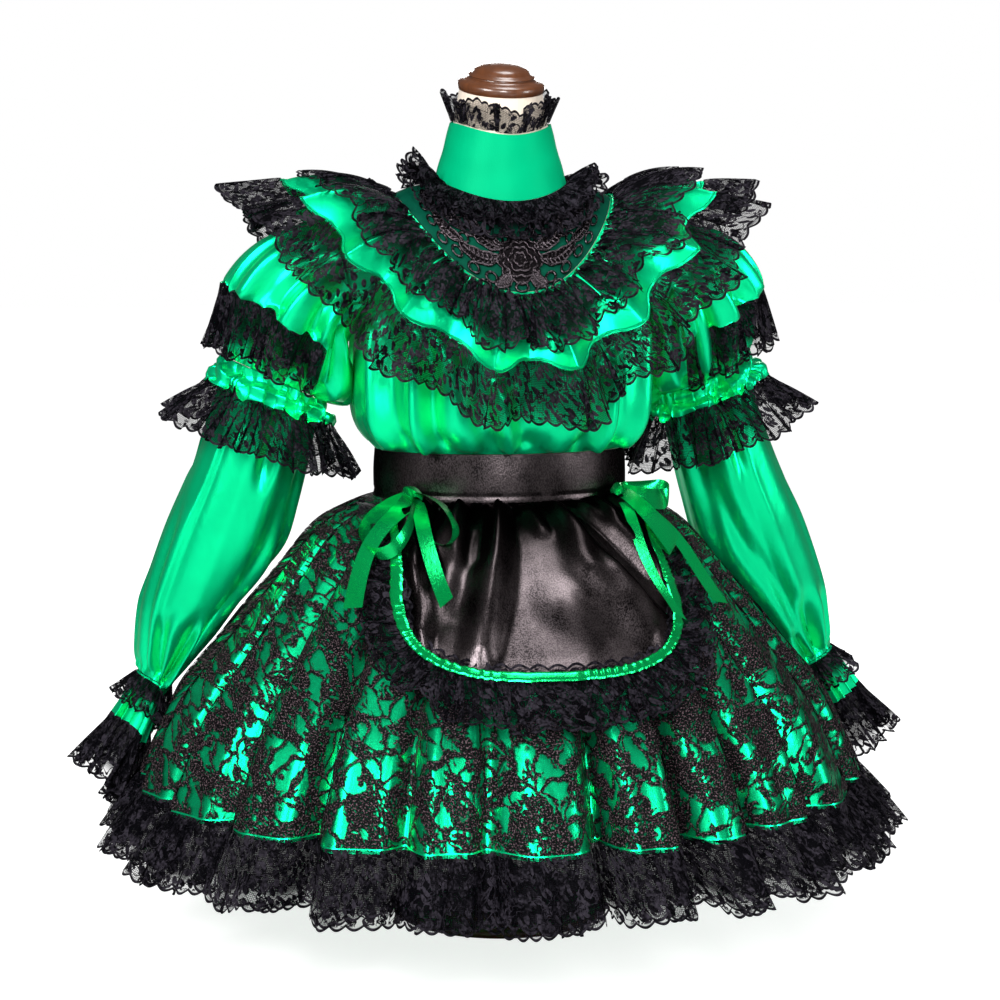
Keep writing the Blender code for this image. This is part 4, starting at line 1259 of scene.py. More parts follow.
@dataclass(frozen=True)
class Form:
    """The dress form: turned base and cap, and the CAD nodes that keep their shape."""

    base: tuple[Turned, ...] = (
        Turned(0.1490, 0.0), Turned(0.1530, 0.002), Turned(0.1540, 0.006), Turned(0.1525, 0.011),
        Turned(0.1490, 0.0142), Turned(0.1400, 0.0155), Turned(0.1330, 0.0178), Turned(0.1290, 0.0220),
        Turned(0.1215, 0.0258), Turned(0.0900, 0.0285), Turned(0.0560, 0.0310), Turned(0.0400, 0.0342),
        Turned(0.0310, 0.0420), Turned(0.0262, 0.0520), Turned(0.0260, 0.0600), Turned(0.0, 0.0600),
    )
    cap: tuple[Turned, ...] = (
        Turned(0.0582, 0.0), Turned(0.0596, 0.0025), Turned(0.0600, 0.0060), Turned(0.0596, 0.0100),
        Turned(0.0574, 0.0128), Turned(0.0500, 0.0150), Turned(0.0452, 0.0172), Turned(0.0446, 0.0190),
        Turned(0.0460, 0.0202), Turned(0.0440, 0.0222), Turned(0.0402, 0.0232), Turned(0.0388, 0.0250),
        Turned(0.0372, 0.0280), Turned(0.0330, 0.0312), Turned(0.0262, 0.0338), Turned(0.0180, 0.0354),
        Turned(0.0090, 0.0363), Turned(0.0, 0.0366),
    )
    dressed: tuple[tuple[str, Look], ...] = (("form_torso", Look.LINEN), ("stand_pole", Look.WOOD))
    segments: int = 96
    smooth_deg: float = 50.0
    least_radius: float = 1e-5
    weld: float = 2e-5

    def make(self) -> None:
        """Builds the wood and dresses the CAD nodes."""
        ride(self._turned("base_turned", self.base), Look.WOOD, "stand_base")
        cap = self._turned("neck_cap_turned", self.cap)
        place = Matrix.Translation((0, NECK_TOP_Y, NECK_TOP_Z))
        place = place @ Matrix.Rotation(math.radians(NECK_TILT_DEG), 4, "X")
        cap.data.transform(place @ Matrix.Translation((0, 0, FACE_GAP)))
        ride(cap, Look.WOOD, "neck_cap")
        for node, look in self.dressed:
            bpy.data.objects[node].material_slots[0].material = look.material
            log.info("%s: dressed", node)

    def _turned(self, name: str, profile: Sequence[Turned]) -> bpy.types.Object:
        """Turns a solid on its axis: a disc, extruded and resized for each edge of its profile.

        Args:
            name: The object's name.
            profile: Radius and height of each edge, from the bottom.

        Returns:
            The object.
        """
        bpy.ops.object.select_all(action="DESELECT")
        start = profile[0].radius
        bpy.ops.mesh.primitive_circle_add(vertices=self.segments, radius=start, fill_type="NGON")
        piece = bpy.context.active_object
        piece.name = piece.data.name = name
        bpy.ops.object.mode_set(mode="EDIT")
        bpy.ops.mesh.select_all(action="SELECT")
        for below, above in zip(profile, profile[1:]):
            rise = {"value": (0, 0, above.z - below.z)}
            bpy.ops.mesh.extrude_region_move(TRANSFORM_OT_translate=rise)
            size = max(above.radius, self.least_radius) / max(below.radius, self.least_radius)
            bpy.ops.transform.resize(value=(size, size, 1))
        bpy.ops.mesh.select_all(action="SELECT")
        bpy.ops.mesh.remove_doubles(threshold=self.weld)
        bpy.ops.mesh.normals_make_consistent(inside=False)
        bpy.ops.object.mode_set(mode="OBJECT")
        bpy.ops.object.shade_smooth_by_angle(angle=math.radians(self.smooth_deg))
        return piece


# One layer of the skirt's hem lace, sewn on at a skirt row
Ruffle = namedtuple("Ruffle", "name look gathers row lift spread rise seed")


@dataclass(frozen=True)
class Skirt:
    """The satin skirt, the flowered lace over it and the two lace ruffles at its hem."""

    rows: int = 56
    columns: int = 260
    lace_lift: float = 0.0028
    bare_hem: float = 0.052
    trough_depth: float = 0.024
    crest_fall: float = 0.005
    fine: Gathers = Gathers(74, 0.0036, 0.3)
    small: Gathers = Gathers(43, 0.0046, 0.8)
    ruffles: tuple[Ruffle, ...] = (
        Ruffle("inner", Look.DENSE, Gathers(25, 0.0185, 0.15, 0.5, 0.4), 3.985, -0.0004, 0.0, 0.0, 0.3),
        Ruffle("outer", Look.TRIM, Gathers(28, 0.0215, 0.63, 0.5, 0.4), 3.965, 0.0041, 0.006, 0.008, 0.54),
    )

    def surface(self, t: Array, bearing: Array) -> Array:
        """The skirt with fine gathers under the waist.

        Args:
            t: Row numbers.
            bearing: Bearings in degrees.

        Returns:
            The points.
        """
        share = way_round(bearing)
        fine = self.fine.depth * (self.fine.height(share) - 1)
        small = self.small.depth * (self.small.height(share) - 1)
        pleats = pleat_height(bearing)
        deep = self.trough_depth * np.maximum(-pleats, 0) ** 1.5
        deep = deep - self.crest_fall * np.maximum(pleats, 0) * ramp(t - 2, 1)
        grow = skirt_row(t)[..., 3] * pleats - deep * ramp(t - 0.6, 1)
        grow = grow + fine * hump(t - 0.35, 0.6) * ramp(t, 0.25)
        return bell(t, bearing, grow + small * ramp(t - 0.3, 1) * (0.5 + 0.15 * t))

    def make(self) -> None:
        """Builds the skirt's sheets."""
        last = len(SKIRT) - 1
        half = 90 - SIDE_GAP_DEG / 2
        for name, middle in (("front", 0.0), ("back", 180.0)):
            satin = f"skirt_satin_{name}"
            t, bearing = net_of(0, last, self.rows, middle - half, middle + half, self.columns)
            sheet = Sheet(satin, Look.GREEN, f"skirt_{name}", ("waistband", "form_torso"))
            sheet.make(self.surface(t, bearing))
            t = t * (1 - self.bare_hem / last)
            lift = self.lace_lift + 0.0012 * np.sin(t * 7)
            sheet = Sheet(f"skirt_lace_{name}", Look.OVERLAY, rests_on=(satin,))
            sheet.make(lifted(self.surface, t, bearing, lift))
            for ruffle in self.ruffles:
                self._hem(name, ruffle, *net_of(0, 1, 11, middle - half, middle + half, 460))

    def _hem(self, name: str, ruffle: Ruffle, t: Array, bearing: Array) -> None:
        """One half's ruffle.

        Args:
            name: The half's name.
            ruffle: The ruffle.
            t: Shares of the way down it.
            bearing: Bearings in degrees.
        """
        share = way_round(bearing)
        hem = lifted(self.surface, np.full_like(t, ruffle.row), bearing, ruffle.lift)
        flare = LACE_FLARE + ruffle.spread + 0.006 * np.sin(len(PLEATS) * np.radians(bearing) + 0.6)
        fall = outwards(bearing) * flare[..., None]
        fall[..., 2] = LACE_HEM_Z + ruffle.rise - hem[..., 2] + 0.007 * uneven(share, ruffle.seed)
        grid = ruffle.gathers.apply(hem + fall * t[..., None], share, t ** 0.7)
        node = f"hem_lace_{name}" if ruffle is self.ruffles[0] else ""
        rests_on = (f"skirt_satin_{name}",)
        sheet = Sheet(f"hem_lace_{name}_{ruffle.name}", ruffle.look, node, rests_on, grain=Grain.GATHERED)
        sheet.make(grid)


@dataclass(frozen=True)
class Body:
    """Yoke, bodice, collar with its frills, and waistband.

    The bodice's creases are given in degrees round it and in fourteenths of a row down it.
    """

    creases: tuple[Crease, ...] = (
        Crease(-58, 98, -68, 67.2, 5.46, 0.0161), Crease(-38, 98, -41, 64.4, 3.90, 0.0210),
        Crease(-19, 98, -27, 58.8, 5.85, 0.0140), Crease(-4, 98, -7, 70.0, 3.276, 0.0196),
        Crease(13, 98, 19, 61.6, 5.46, 0.0161), Crease(31, 98, 33, 67.2, 3.588, 0.0203),
        Crease(50, 98, 60, 64.4, 5.85, 0.0175),
    )
    waist: Gathers = Gathers(38, 0.0016, 0.21, 0.0, 0.5)
    box_pleats: Gathers = Gathers(11, 0.0058, 0.15, 0.2, 0.22, 2.8)
    seam_line: float = 0.86

    def make(self) -> None:
        """Builds the body's sheets."""
        self._yoke()
        self._bodice()
        self._collar()
        self._collar_frill()
        self._neck_frill("neck_frill_low", "neck_frill", Gathers(27, 0.0090, 0.40, 0.45, 0.4), 0.96, 0.0090)
        self._neck_frill("neck_frill_top", "", Gathers(32, 0.0110, 0.75, 0.45, 0.4), 0.66, 0.0170)
        self._waistband()

    @staticmethod
    def _yoke() -> None:
        """The smooth yoke."""
        sheet = Sheet("yoke_satin", Look.YOKE, "yoke", ("form_torso",), Held.STRETCHED)
        sheet.make(body_surface(*round_net(0, YOKE_SEAM - 0.008, 22, 180)))

    def _bodice(self) -> None:
        """The front and the two backs, gathered into the waist."""
        for name, columns in (("bodice_front", 150), ("bodice_back_left", 80), ("bodice_back_right", 80)):
            t, share = net_of(YOKE_SEAM + 0.004, WAIST_SEAM, 64, 0, 1, columns)
            armhole = ARMHOLE_DEG * np.sqrt(np.maximum(0, 1 - (t - ARMHOLE_MIDDLE) ** 2))
            front, back = 90 - SIDE_GAP_DEG - armhole, 90 + SIDE_GAP_DEG + armhole
            first, last = {
                "bodice_front": (-front, front),
                "bodice_back_left": (back, BACK_EDGE),
                "bodice_back_right": (-BACK_EDGE, -back),
            }[name]
            bearing = first + share * (last - first)
            turned = np.where(np.abs(bearing) > 90, np.sign(bearing) * 180 - bearing, bearing)
            height = creased(self.creases, turned, 14 * t)
            height *= ramp(WAIST_SEAM - t, 0.35) * ramp(90 - np.abs(turned), 8)
            near = ramp(t - 5.6, 1.2) * ramp(WAIST_SEAM - t, 0.12)
            height += self.waist.depth * self.waist.height(way_round(bearing)) * near
            sheet = Sheet(f"{name}_satin", Look.GREEN, name, ("waistband", "form_torso"))
            sheet.make(moved(body_surface(t, bearing), height))

    @staticmethod
    def _collar() -> None:
        """The stand collar."""
        t, bearing = round_net(0, 1, 20, 130)
        wrinkle = 0.0006 * np.sin(9 * t + 2.2 * np.sin(np.radians(bearing) * 2)) * np.sin(np.pi * t)
        sheet = Sheet("collar_satin", Look.COLLAR, "collar", ("form_torso",), Held.STRETCHED)
        sheet.make(moved(collar_surface(t, bearing), wrinkle))

    def _collar_frill(self) -> None:
        """The lace in box pleats on the collar's top."""
        t, bearing = round_net(0, 1, 9, 620)
        share = way_round(bearing)
        root = collar_surface(np.zeros_like(t), bearing) + np.array((0, 0, 2 * SEAM))
        tall = 1 + 0.10 * np.sin(2 * np.pi * (5 * share + 0.2)) + 0.06 * np.sin(2 * np.pi * 11 * share)
        grid = root + (ring_at(COLLAR_FRILL_TOP, bearing) - root) * (t * tall)[..., None]
        grid = moved(grid, np.full_like(t, 0.0032))
        grid = self.box_pleats.apply(grid, share, 0.60 + 0.40 * t)
        grid = Gathers(46, 0.0020, 0.40, 0.4).apply(grid, share, t)
        name, rests_on = "collar_frill_lace", ("collar_satin",)
        Sheet(name, Look.FRILL, "collar_frill", rests_on, Held.FOLDED, Grain.GATHERED).make(grid)

    @staticmethod
    def _neck_frill(name: str, node: str, gathers: Gathers, reach: float, rise: float) -> None:
        """A gathered frill on the yoke, which stands up beside the collar.

        Args:
            name: The piece's name.
            node: The CAD node that it replaces.
            gathers: Its folds.
            reach: How many rows of the yoke it covers at the front.
            rise: How far its free edge lifts.
        """
        t, bearing = round_net(0, 1, 10, 560)
        stand = 0.028 * hump(bearing + 84, 20) + 0.010 * hump(bearing - 80, 24)
        lift = (SATIN + LACE) / 2 + LIE + t * (rise + stand)
        wide = reach * (1 + 0.95 * hump(np.abs(bearing) - 78, 44))
        grid = lifted(body_surface, wide * t * (1 - 10 * stand), bearing, lift)
        sheet = Sheet(name, Look.DENSE, node, ("yoke_satin",), grain=Grain.GATHERED)
        sheet.make(gathers.apply(grid, way_round(bearing), t ** 0.6))

    def _waistband(self) -> None:
        """The black waistband, with the seam line near its lower edge."""
        t, bearing = round_net(0, 1, 26, 200)
        spread = WAIST_SPREAD * t
        half = np.stack((WAIST_HALF_WIDTH + spread, WAIST_HALF_DEPTH + spread, np.zeros_like(t)), axis=-1)
        grid = outwards(bearing) * half
        grid[..., 2] = WAIST_TOP_Z - t * (WAIST_TOP_Z - WAIST_LOW_Z)
        height = 0.0008 * np.sin(np.pi * ramp(t, self.seam_line)) - 0.0011 * hump(t - self.seam_line, 0.035)
        height += 0.0003 * np.sin(np.radians(bearing) * 7 + 3 * t) * np.sin(np.pi * t)
        sheet = Sheet("waistband_satin", Look.BLACK, "waistband", ("form_torso",), Held.STRETCHED)
        sheet.make(moved(grid, height))


@dataclass(frozen=True)
class Bertha:
    """The flounce round the yoke: satin, gathered lace on its top half and wide lace along its hem."""

    tight: Gathers = Gathers(92, 0.0032, 0.55, 0.2)
    lobes: tuple[Pleat, ...] = (
        Pleat(-178, 0.9), Pleat(-156, 1.1), Pleat(-139, 0.8), Pleat(-116, 1.1), Pleat(-94, 0.9),
        Pleat(-72, 0.8), Pleat(-51, 1.0), Pleat(-34, 0.9), Pleat(-10, 1.2), Pleat(11, 1.1),
        Pleat(31, 0.8), Pleat(53, 1.1), Pleat(76, 0.9), Pleat(98, 1.1), Pleat(117, 0.8), Pleat(140, 1.1),
        Pleat(158, 0.9),
    )
    out_depth: float = 0.019
    down_depth: float = 0.014
    length: float = 0.115
    lace_share: float = 0.76

    @staticmethod
    def base(t: Array, bearing: Array) -> Array:
        """The flounce from the yoke seam at 0 over its hem at 1 to its lace's edge at 2, without folds.

        Args:
            t: Row numbers.
            bearing: Bearings in degrees.

        Returns:
            The points.
        """
        satin = bertha_base(np.minimum(t, 1), bearing)
        share = np.maximum(t - 1, 0)[..., None]
        return satin * (1 - share) + ring_at(BERTHA_LACE_HEM, bearing) * share

    def surface(self, t: Array, bearing: Array) -> Array:
        """The folded flounce.

        Args:
            t: Row numbers, as for the base.
            bearing: Bearings in degrees.

        Returns:
            The points, as a grid.
        """
        share, size = between(self.lobes, bearing)
        phase = 2 * np.pi * share
        wave = size * (np.cos(phase) + 0.20 * np.cos(2 * phase))
        inside = np.clip(t, 0, 1)
        growth = inside ** 1.2 * (1 + 0.2 * np.clip(t - 1, 0, 1))
        slid = t + self.down_depth * wave * growth / (self.length * np.maximum(inside, 0.3)) * inside
        lean = -0.30 * self.out_depth * growth * size * np.sin(2 * phase + 0.4)
        grid = moved(self.base(slid, bearing), self.out_depth * growth * wave, lean)
        return self.tight.apply(grid, way_round(bearing), hump(t, 0.16) * ramp(t, 0.03))

    def make(self) -> None:
        """Builds the flounce's sheets."""
        sheet = Sheet("bertha_satin", Look.HEMMED, "bertha_flounce", ("yoke_satin",), grain=Grain.GATHERED)
        sheet.make(self.surface(*round_net(0, 1, 34, 800)))
        self._top_lace()
        self._hem_lace()

    def _top_lace(self) -> None:
        """The lace gathered on at the yoke seam."""
        t, bearing = round_net(0, 1, 20, 1000)
        share = way_round(bearing)
        grid = self.surface(0.02 + (self.lace_share + 0.07 * uneven(share, 0.2)) * t, bearing)
        grid = moved(grid, SATIN + LIE + 0.0005 + 0.013 * t)
        grid = Gathers(31, 0.0150, 0.65, 0.42, 0.5).apply(grid, share, t ** 0.6)
        grid = Gathers(110, 0.0026, 0.3, 0.2).apply(grid, share, hump(t, 0.3))
        rests_on = ("bertha_satin",)
        Sheet("bertha_lace_top", Look.VEIL, "bertha_top_lace", rests_on, grain=Grain.GATHERED).make(grid)

    def _hem_lace(self) -> None:
        """The wide lace along the hem."""
        t, bearing = round_net(0.985, 2, 22, 1000)
        share = way_round(bearing)
        below = np.clip(t - 1, 0, 1)
        grid = self.surface(t + 0.10 * below * uneven(share, 0.6), bearing)
        grid = moved(grid, np.full_like(t, (SATIN + LACE) / 2))
        grid = Gathers(35, 0.0130, 0.37, 0.45, 0.45).apply(grid, share, below ** 0.7)
        rests_on = ("bertha_satin",)
        Sheet("bertha_lace_hem", Look.TRIM, "bertha_hem_lace", rests_on, grain=Grain.GATHERED).make(grid)


@dataclass(frozen=True)
class Sleeve:
    """One sleeve, built on the +X side and mirrored for the other.

    Its creases are given in degrees round the sleeve and in twentieths of a row down it.
    """

    side: int
    mark: str
    seed: float
    cap_half_deg: float = 118.0
    puff_creases: tuple[Crease, ...] = (
        Crease(292, 34, 284, 99, 8, -0.0100), Crease(254, 42, 258, 99, 7, -0.0115),
        Crease(322, 24, 312, 98, 9, -0.0080), Crease(222, 36, 232, 99, 8, -0.0100),
        Crease(350, 40, 344, 99, 8, -0.0075), Crease(30, 30, 22, 98, 9, -0.0085),
        Crease(64, 40, 58, 99, 8, -0.0095), Crease(100, 26, 92, 98, 9, -0.0085),
        Crease(136, 44, 128, 99, 8, -0.0100), Crease(186, 40, 192, 99, 9, -0.0090),
    )
    cap_creases: tuple[Crease, ...] = (
        Crease(-98, 1, -103, 20, 6, -0.0100), Crease(-70, 0, -66, 20, 7, -0.0125),
        Crease(-40, 3, -44, 20, 8, 0.0085), Crease(-12, 0, -8, 20, 7, -0.0110),
        Crease(26, 3, 31, 20, 8, 0.0080), Crease(58, 0, 54, 20, 7, -0.0110),
        Crease(92, 1, 98, 20, 7, -0.0100),
    )
    full_creases: tuple[Crease, ...] = (
        Crease(256, 0, 261, 38, 8, -0.0075), Crease(300, 0, 293, 26, 9, -0.0050),
        Crease(218, 34, 274, 112, 9, -0.0062), Crease(306, 84, 297, 121, 8, -0.0090),
        Crease(270, 80, 273, 121, 8, -0.0100), Crease(240, 92, 248, 121, 7, -0.0085),
        Crease(338, 52, 324, 121, 9, -0.0062), Crease(204, 4, 212, 60, 9, -0.0060),
        Crease(96, 2, 88, 50, 9, -0.0070), Crease(58, 66, 68, 121, 9, -0.0075),
        Crease(122, 60, 113, 121, 9, -0.0075), Crease(150, 2, 142, 44, 9, -0.0055),
        Crease(28, 76, 22, 121, 8, -0.0070), Crease(176, 70, 184, 121, 9, -0.0070),
        Crease(20, 0, 12, 40, 9, -0.0060),
    )

    def _creased(self, creases: Sequence[Crease], t: Array, turn: Array) -> Array:
        """The creases' height, turned a little more on one sleeve than on the other.

        Args:
            creases: The creases.
            t: Row numbers.
            turn: Turns in degrees.

        Returns:
            The height, in metres.
        """
        turn = turn - 40 * self.seed
        both = creased(creases, turn, 20 * t) + creased(creases, turn + 360, 20 * t)
        return 1.3 * both

    def upper(self, t: Array, turn: Array) -> Array:
        """The puffed upper sleeve, 0 at the armhole and 5 at the elbow gather.

        Args:
            t: Row numbers.
            turn: Turns in degrees.

        Returns:
            The points.
        """
        a = np.radians(turn)
        bearing = 90 + ARMHOLE_DEG * np.sin(a)
        armhole = body_surface(ARMHOLE_MIDDLE - np.cos(a), bearing) + np.array((SATIN + SEAM, 0, 0))
        first = sleeve_rings(np.broadcast_to(UPPER_SLEEVE[0], (*t.shape, 6)), turn)
        head = (1 - t)[..., None] * armhole + t[..., None] * first
        rest = through(UPPER_SLEEVE, np.maximum(t - 1, 0), lambda rows: sleeve_rings(rows, turn))
        return np.where((t < 1)[..., None], head, rest)

    def _hanging(self, table: Array, t: Array, turn: Array) -> Array:
        """Points below the elbow, which swing out more the lower they hang.

        Args:
            table: The sleeve rows.
            t: Row numbers.
            turn: Turns in degrees.

        Returns:
            The points.
        """
        place = through(table, t, lambda rows: sleeve_rings(rows, turn))
        out = SWING[self.mark] * np.maximum(0, ELBOW_Z - place[..., 2]) ** 1.5
        return off_the_skirt(place + out[..., None] * np.array((1.0, 0.0, 0.0)))

    def lower(self, t: Array, turn: Array) -> Array:
        """The lower sleeve."""
        return self._hanging(LOWER_SLEEVE, t, turn)

    def cuff(self, t: Array, turn: Array) -> Array:
        """The cuff below the wrist gather."""
        return self._hanging(CUFF, t, turn)

    def _sheet(self, name: str, node: str, look: Look, grid: Array, rests_on: str,
               grain: Grain = Grain.GATHERED, closed: bool = True) -> None:
        """Builds one sheet on its side.

        Args:
            name: The piece's name without its side.
            node: The CAD node that it replaces, without its side.
            look: Its finish.
            grid: The points for the +X side.
            rests_on: The sleeve's piece that it rests on, without its side, or the form.
            grain: How its pattern runs.
            closed: Whether it is a ring.
        """
        if self.side < 0:
            grid = grid[:, ::-1] * np.array((-1, 1, 1))
        carrier = rests_on if rests_on == "form_torso" else f"{rests_on}_{self.mark}"
        node = f"{node}_{self.mark}"
        Sheet(f"{name}_{self.mark}", look, node, (carrier,), Held.GATHERED, grain, closed).make(grid)

    @staticmethod
    def _ring(last_row: float, rows: int, columns: int) -> tuple[Array, Array]:
        """Row numbers from 0 and turns of a closed ring."""
        return net_of(0, last_row, rows, 0, 360 * (1 - 1 / columns), columns)

    def make(self) -> None:
        """Builds the sleeve's sheets."""
        self._puff()
        self._cap()
        self._lower()
        self._elbow()
        self._cuff()

    def _puff(self) -> None:
        """The puffed head, gathered at the armhole and the elbow."""
        t, turn = self._ring(5, 64, 200)
        up = 5 - t
        share = turn / 360
        bag = 0.030 * hump(turn - 180, 62) * hump(t - 4.1, 0.9)
        grid = moved(self.upper(t, turn), bag * ramp(up, 0.8), 0.0, True)
        grid = moved(grid, self._creased(self.puff_creases, t, turn) * ramp(up, 0.4), 0.0, True)
        soft = np.sin(np.pi * ramp(t, 5)) ** 0.8
        grid = Gathers(8, 0.0055, self.seed + 0.1, 0.35, 0.42).apply(grid, share, soft, True)
        tight = hump(up, 0.55) * ramp(up, 0.15)
        grid = Gathers(36, 0.0046, self.seed + 0.6, 0.3).apply(grid, share, tight, True)
        self._sheet("sleeve_puff", "sleeve_upper", Look.GREEN, grid, "form_torso", Grain.EVEN)

    def _cap(self) -> None:
        """The short flounce over the sleeve head and its lace."""
        t, turn = net_of(0, 1, 22, -self.cap_half_deg, self.cap_half_deg, 300)
        wave = waves(turn / 360, 9, 0.1)
        end = lifted(self.upper, np.full_like(t, 3.02), turn, 0.015 + 0.007 * wave, SLEEVE_STEP)
        bulge = 0.0058 + 0.0125 * np.sin(np.pi * t / 2)
        start = lifted(self.upper, 0.80 + 2.2 * t, turn, bulge, SLEEVE_STEP)
        grid = (1 - t * t)[..., None] * start + (t * t)[..., None] * end
        height = 1.2 * creased(self.cap_creases, turn - 12 * self.seed, 20 * t) * ramp(t, 0.3)
        folds = Gathers(13, 0.0050, self.seed + 0.12, 0.3, 0.4)
        grid = folds.apply(moved(grid, height), turn / 360, t ** 0.9)
        self._sheet("cap_satin", "cap_flounce", Look.GREEN, grid, "sleeve_puff", closed=False)
        root = grid[-1:]
        t, turn = net_of(0, 1, 12, -self.cap_half_deg, self.cap_half_deg, 300)
        wave = waves(turn / 360, 9, 0.1)
        hem = lifted(self.upper, np.full_like(t, 4.45), turn, 0.026 + 0.011 * wave, SLEEVE_STEP)
        lace = root + (hem - root) * t[..., None]
        lace = Gathers(21, 0.0115, self.seed + 0.47, 0.5).apply(lace, turn / 360, t ** 0.7)
        self._sheet("cap_lace_hem", "cap_lace", Look.VEIL, lace, "cap_satin", closed=False)

    def _lower(self) -> None:
        """The full lower sleeve, with long soft folds between its two gathers."""
        t, turn = self._ring(6, 84, 168)
        up = 6 - t
        share = turn / 360
        height = self._creased(self.full_creases, t, turn) * ramp(up, 0.25)
        grid = moved(self.lower(t, turn), height, 0.0, True)
        long = Gathers(4, 0.0030, self.seed + 0.33, 0.15, 0.26)
        grid = long.apply(grid, share, np.sin(np.pi * t / 6) ** 0.7, True)
        ends = np.maximum(hump(t, 0.4), hump(up, 0.45) * ramp(up, 0.2))
        grid = Gathers(20, 0.0036, self.seed + 0.9, 0.2).apply(grid, share, ends, True)
        self._sheet("sleeve_full", "sleeve_lower", Look.GREEN, grid, "sleeve_puff", Grain.EVEN)

    def _elbow(self) -> None:
        """The satin frill and the wide lace at the elbow."""
        t, turn = self._ring(1, 12, 340)
        share = turn / 360
        lift = SATIN + LIE + t * (0.016 + 0.005 * waves(share, 7, 0.3))
        grid = lifted(self.lower, 0.02 + 0.50 * t, turn, lift, SLEEVE_STEP)
        curl = np.sin(2 * np.pi * (5 * share + 0.8 * t) + 2.2 * np.sin(2 * np.pi * (2 * share + self.seed)))
        curl = curl * np.cos(2 * np.pi * (0.6 * t - 3 * share))
        grid = moved(grid, 0.0105 * curl * np.sin(np.pi * np.clip(t, 0.1, 1)) ** 0.5, 0.003 * curl, True)
        grid = Gathers(12, 0.0095, self.seed + 0.3, 0.5, 0.6).apply(grid, share, 0.4 + 0.6 * t, True)
        self._sheet("elbow_satin", "elbow_frill", Look.GREEN, grid, "sleeve_full")
        root = grid[-1:]
        t, turn = self._ring(1, 14, 340)
        share = turn / 360
        lift = SATIN + LIE + 0.016 + 0.046 * t + 0.005 * (1 + 1.4 * t) * waves(share, 7, 0.3)
        lace = drawn_from(root, lifted(self.lower, 0.532 + 0.88 * t, turn, lift, SLEEVE_STEP), t)
        lace = Gathers(23, 0.0120, self.seed + 0.52, 0.5).apply(lace, share, t ** 0.7, True)
        self._sheet("elbow_lace_hem", "elbow_lace", Look.TRIM, lace, "elbow_satin")

    def _cuff(self) -> None:
        """The satin cuff frill, its wide lace and the small lace at the wrist."""
        t, turn = self._ring(1, 14, 260)
        share = turn / 360
        wave = 0.003 * waves(share, 5, 0.2)
        grid = lifted(self.cuff, t, turn, t * wave, SLEEVE_STEP)
        grid = Gathers(17, 0.0055, self.seed + 0.2, 0.4).apply(grid, share, 0.35 + 0.65 * t, True)
        self._sheet("cuff_satin", "cuff_frill", Look.GREEN, grid, "sleeve_full")
        lace = lifted(self.cuff, 1 + t, turn, (1 + 2 * t) * wave, SLEEVE_STEP)
        lace = drawn_from(grid[-1:], lace, t)
        lace = Gathers(18, 0.0110, self.seed + 0.7, 0.5).apply(lace, share, t ** 0.7, True)
        self._sheet("cuff_lace_hem", "cuff_lace", Look.DENSE, lace, "cuff_satin")
        lift = SATIN + LIE + t * (0.019 + 0.005 * waves(share, 5, 0.7))
        small = lifted(self.cuff, 0.03 + 0.65 * t, turn, lift, SLEEVE_STEP)
        small = Gathers(19, 0.0060, self.seed + 0.4, 0.45).apply(small, share, 0.3 + 0.7 * t, True)
        self._sheet("wrist_lace_frill", "wrist_lace", Look.DENSE, small, "cuff_satin")


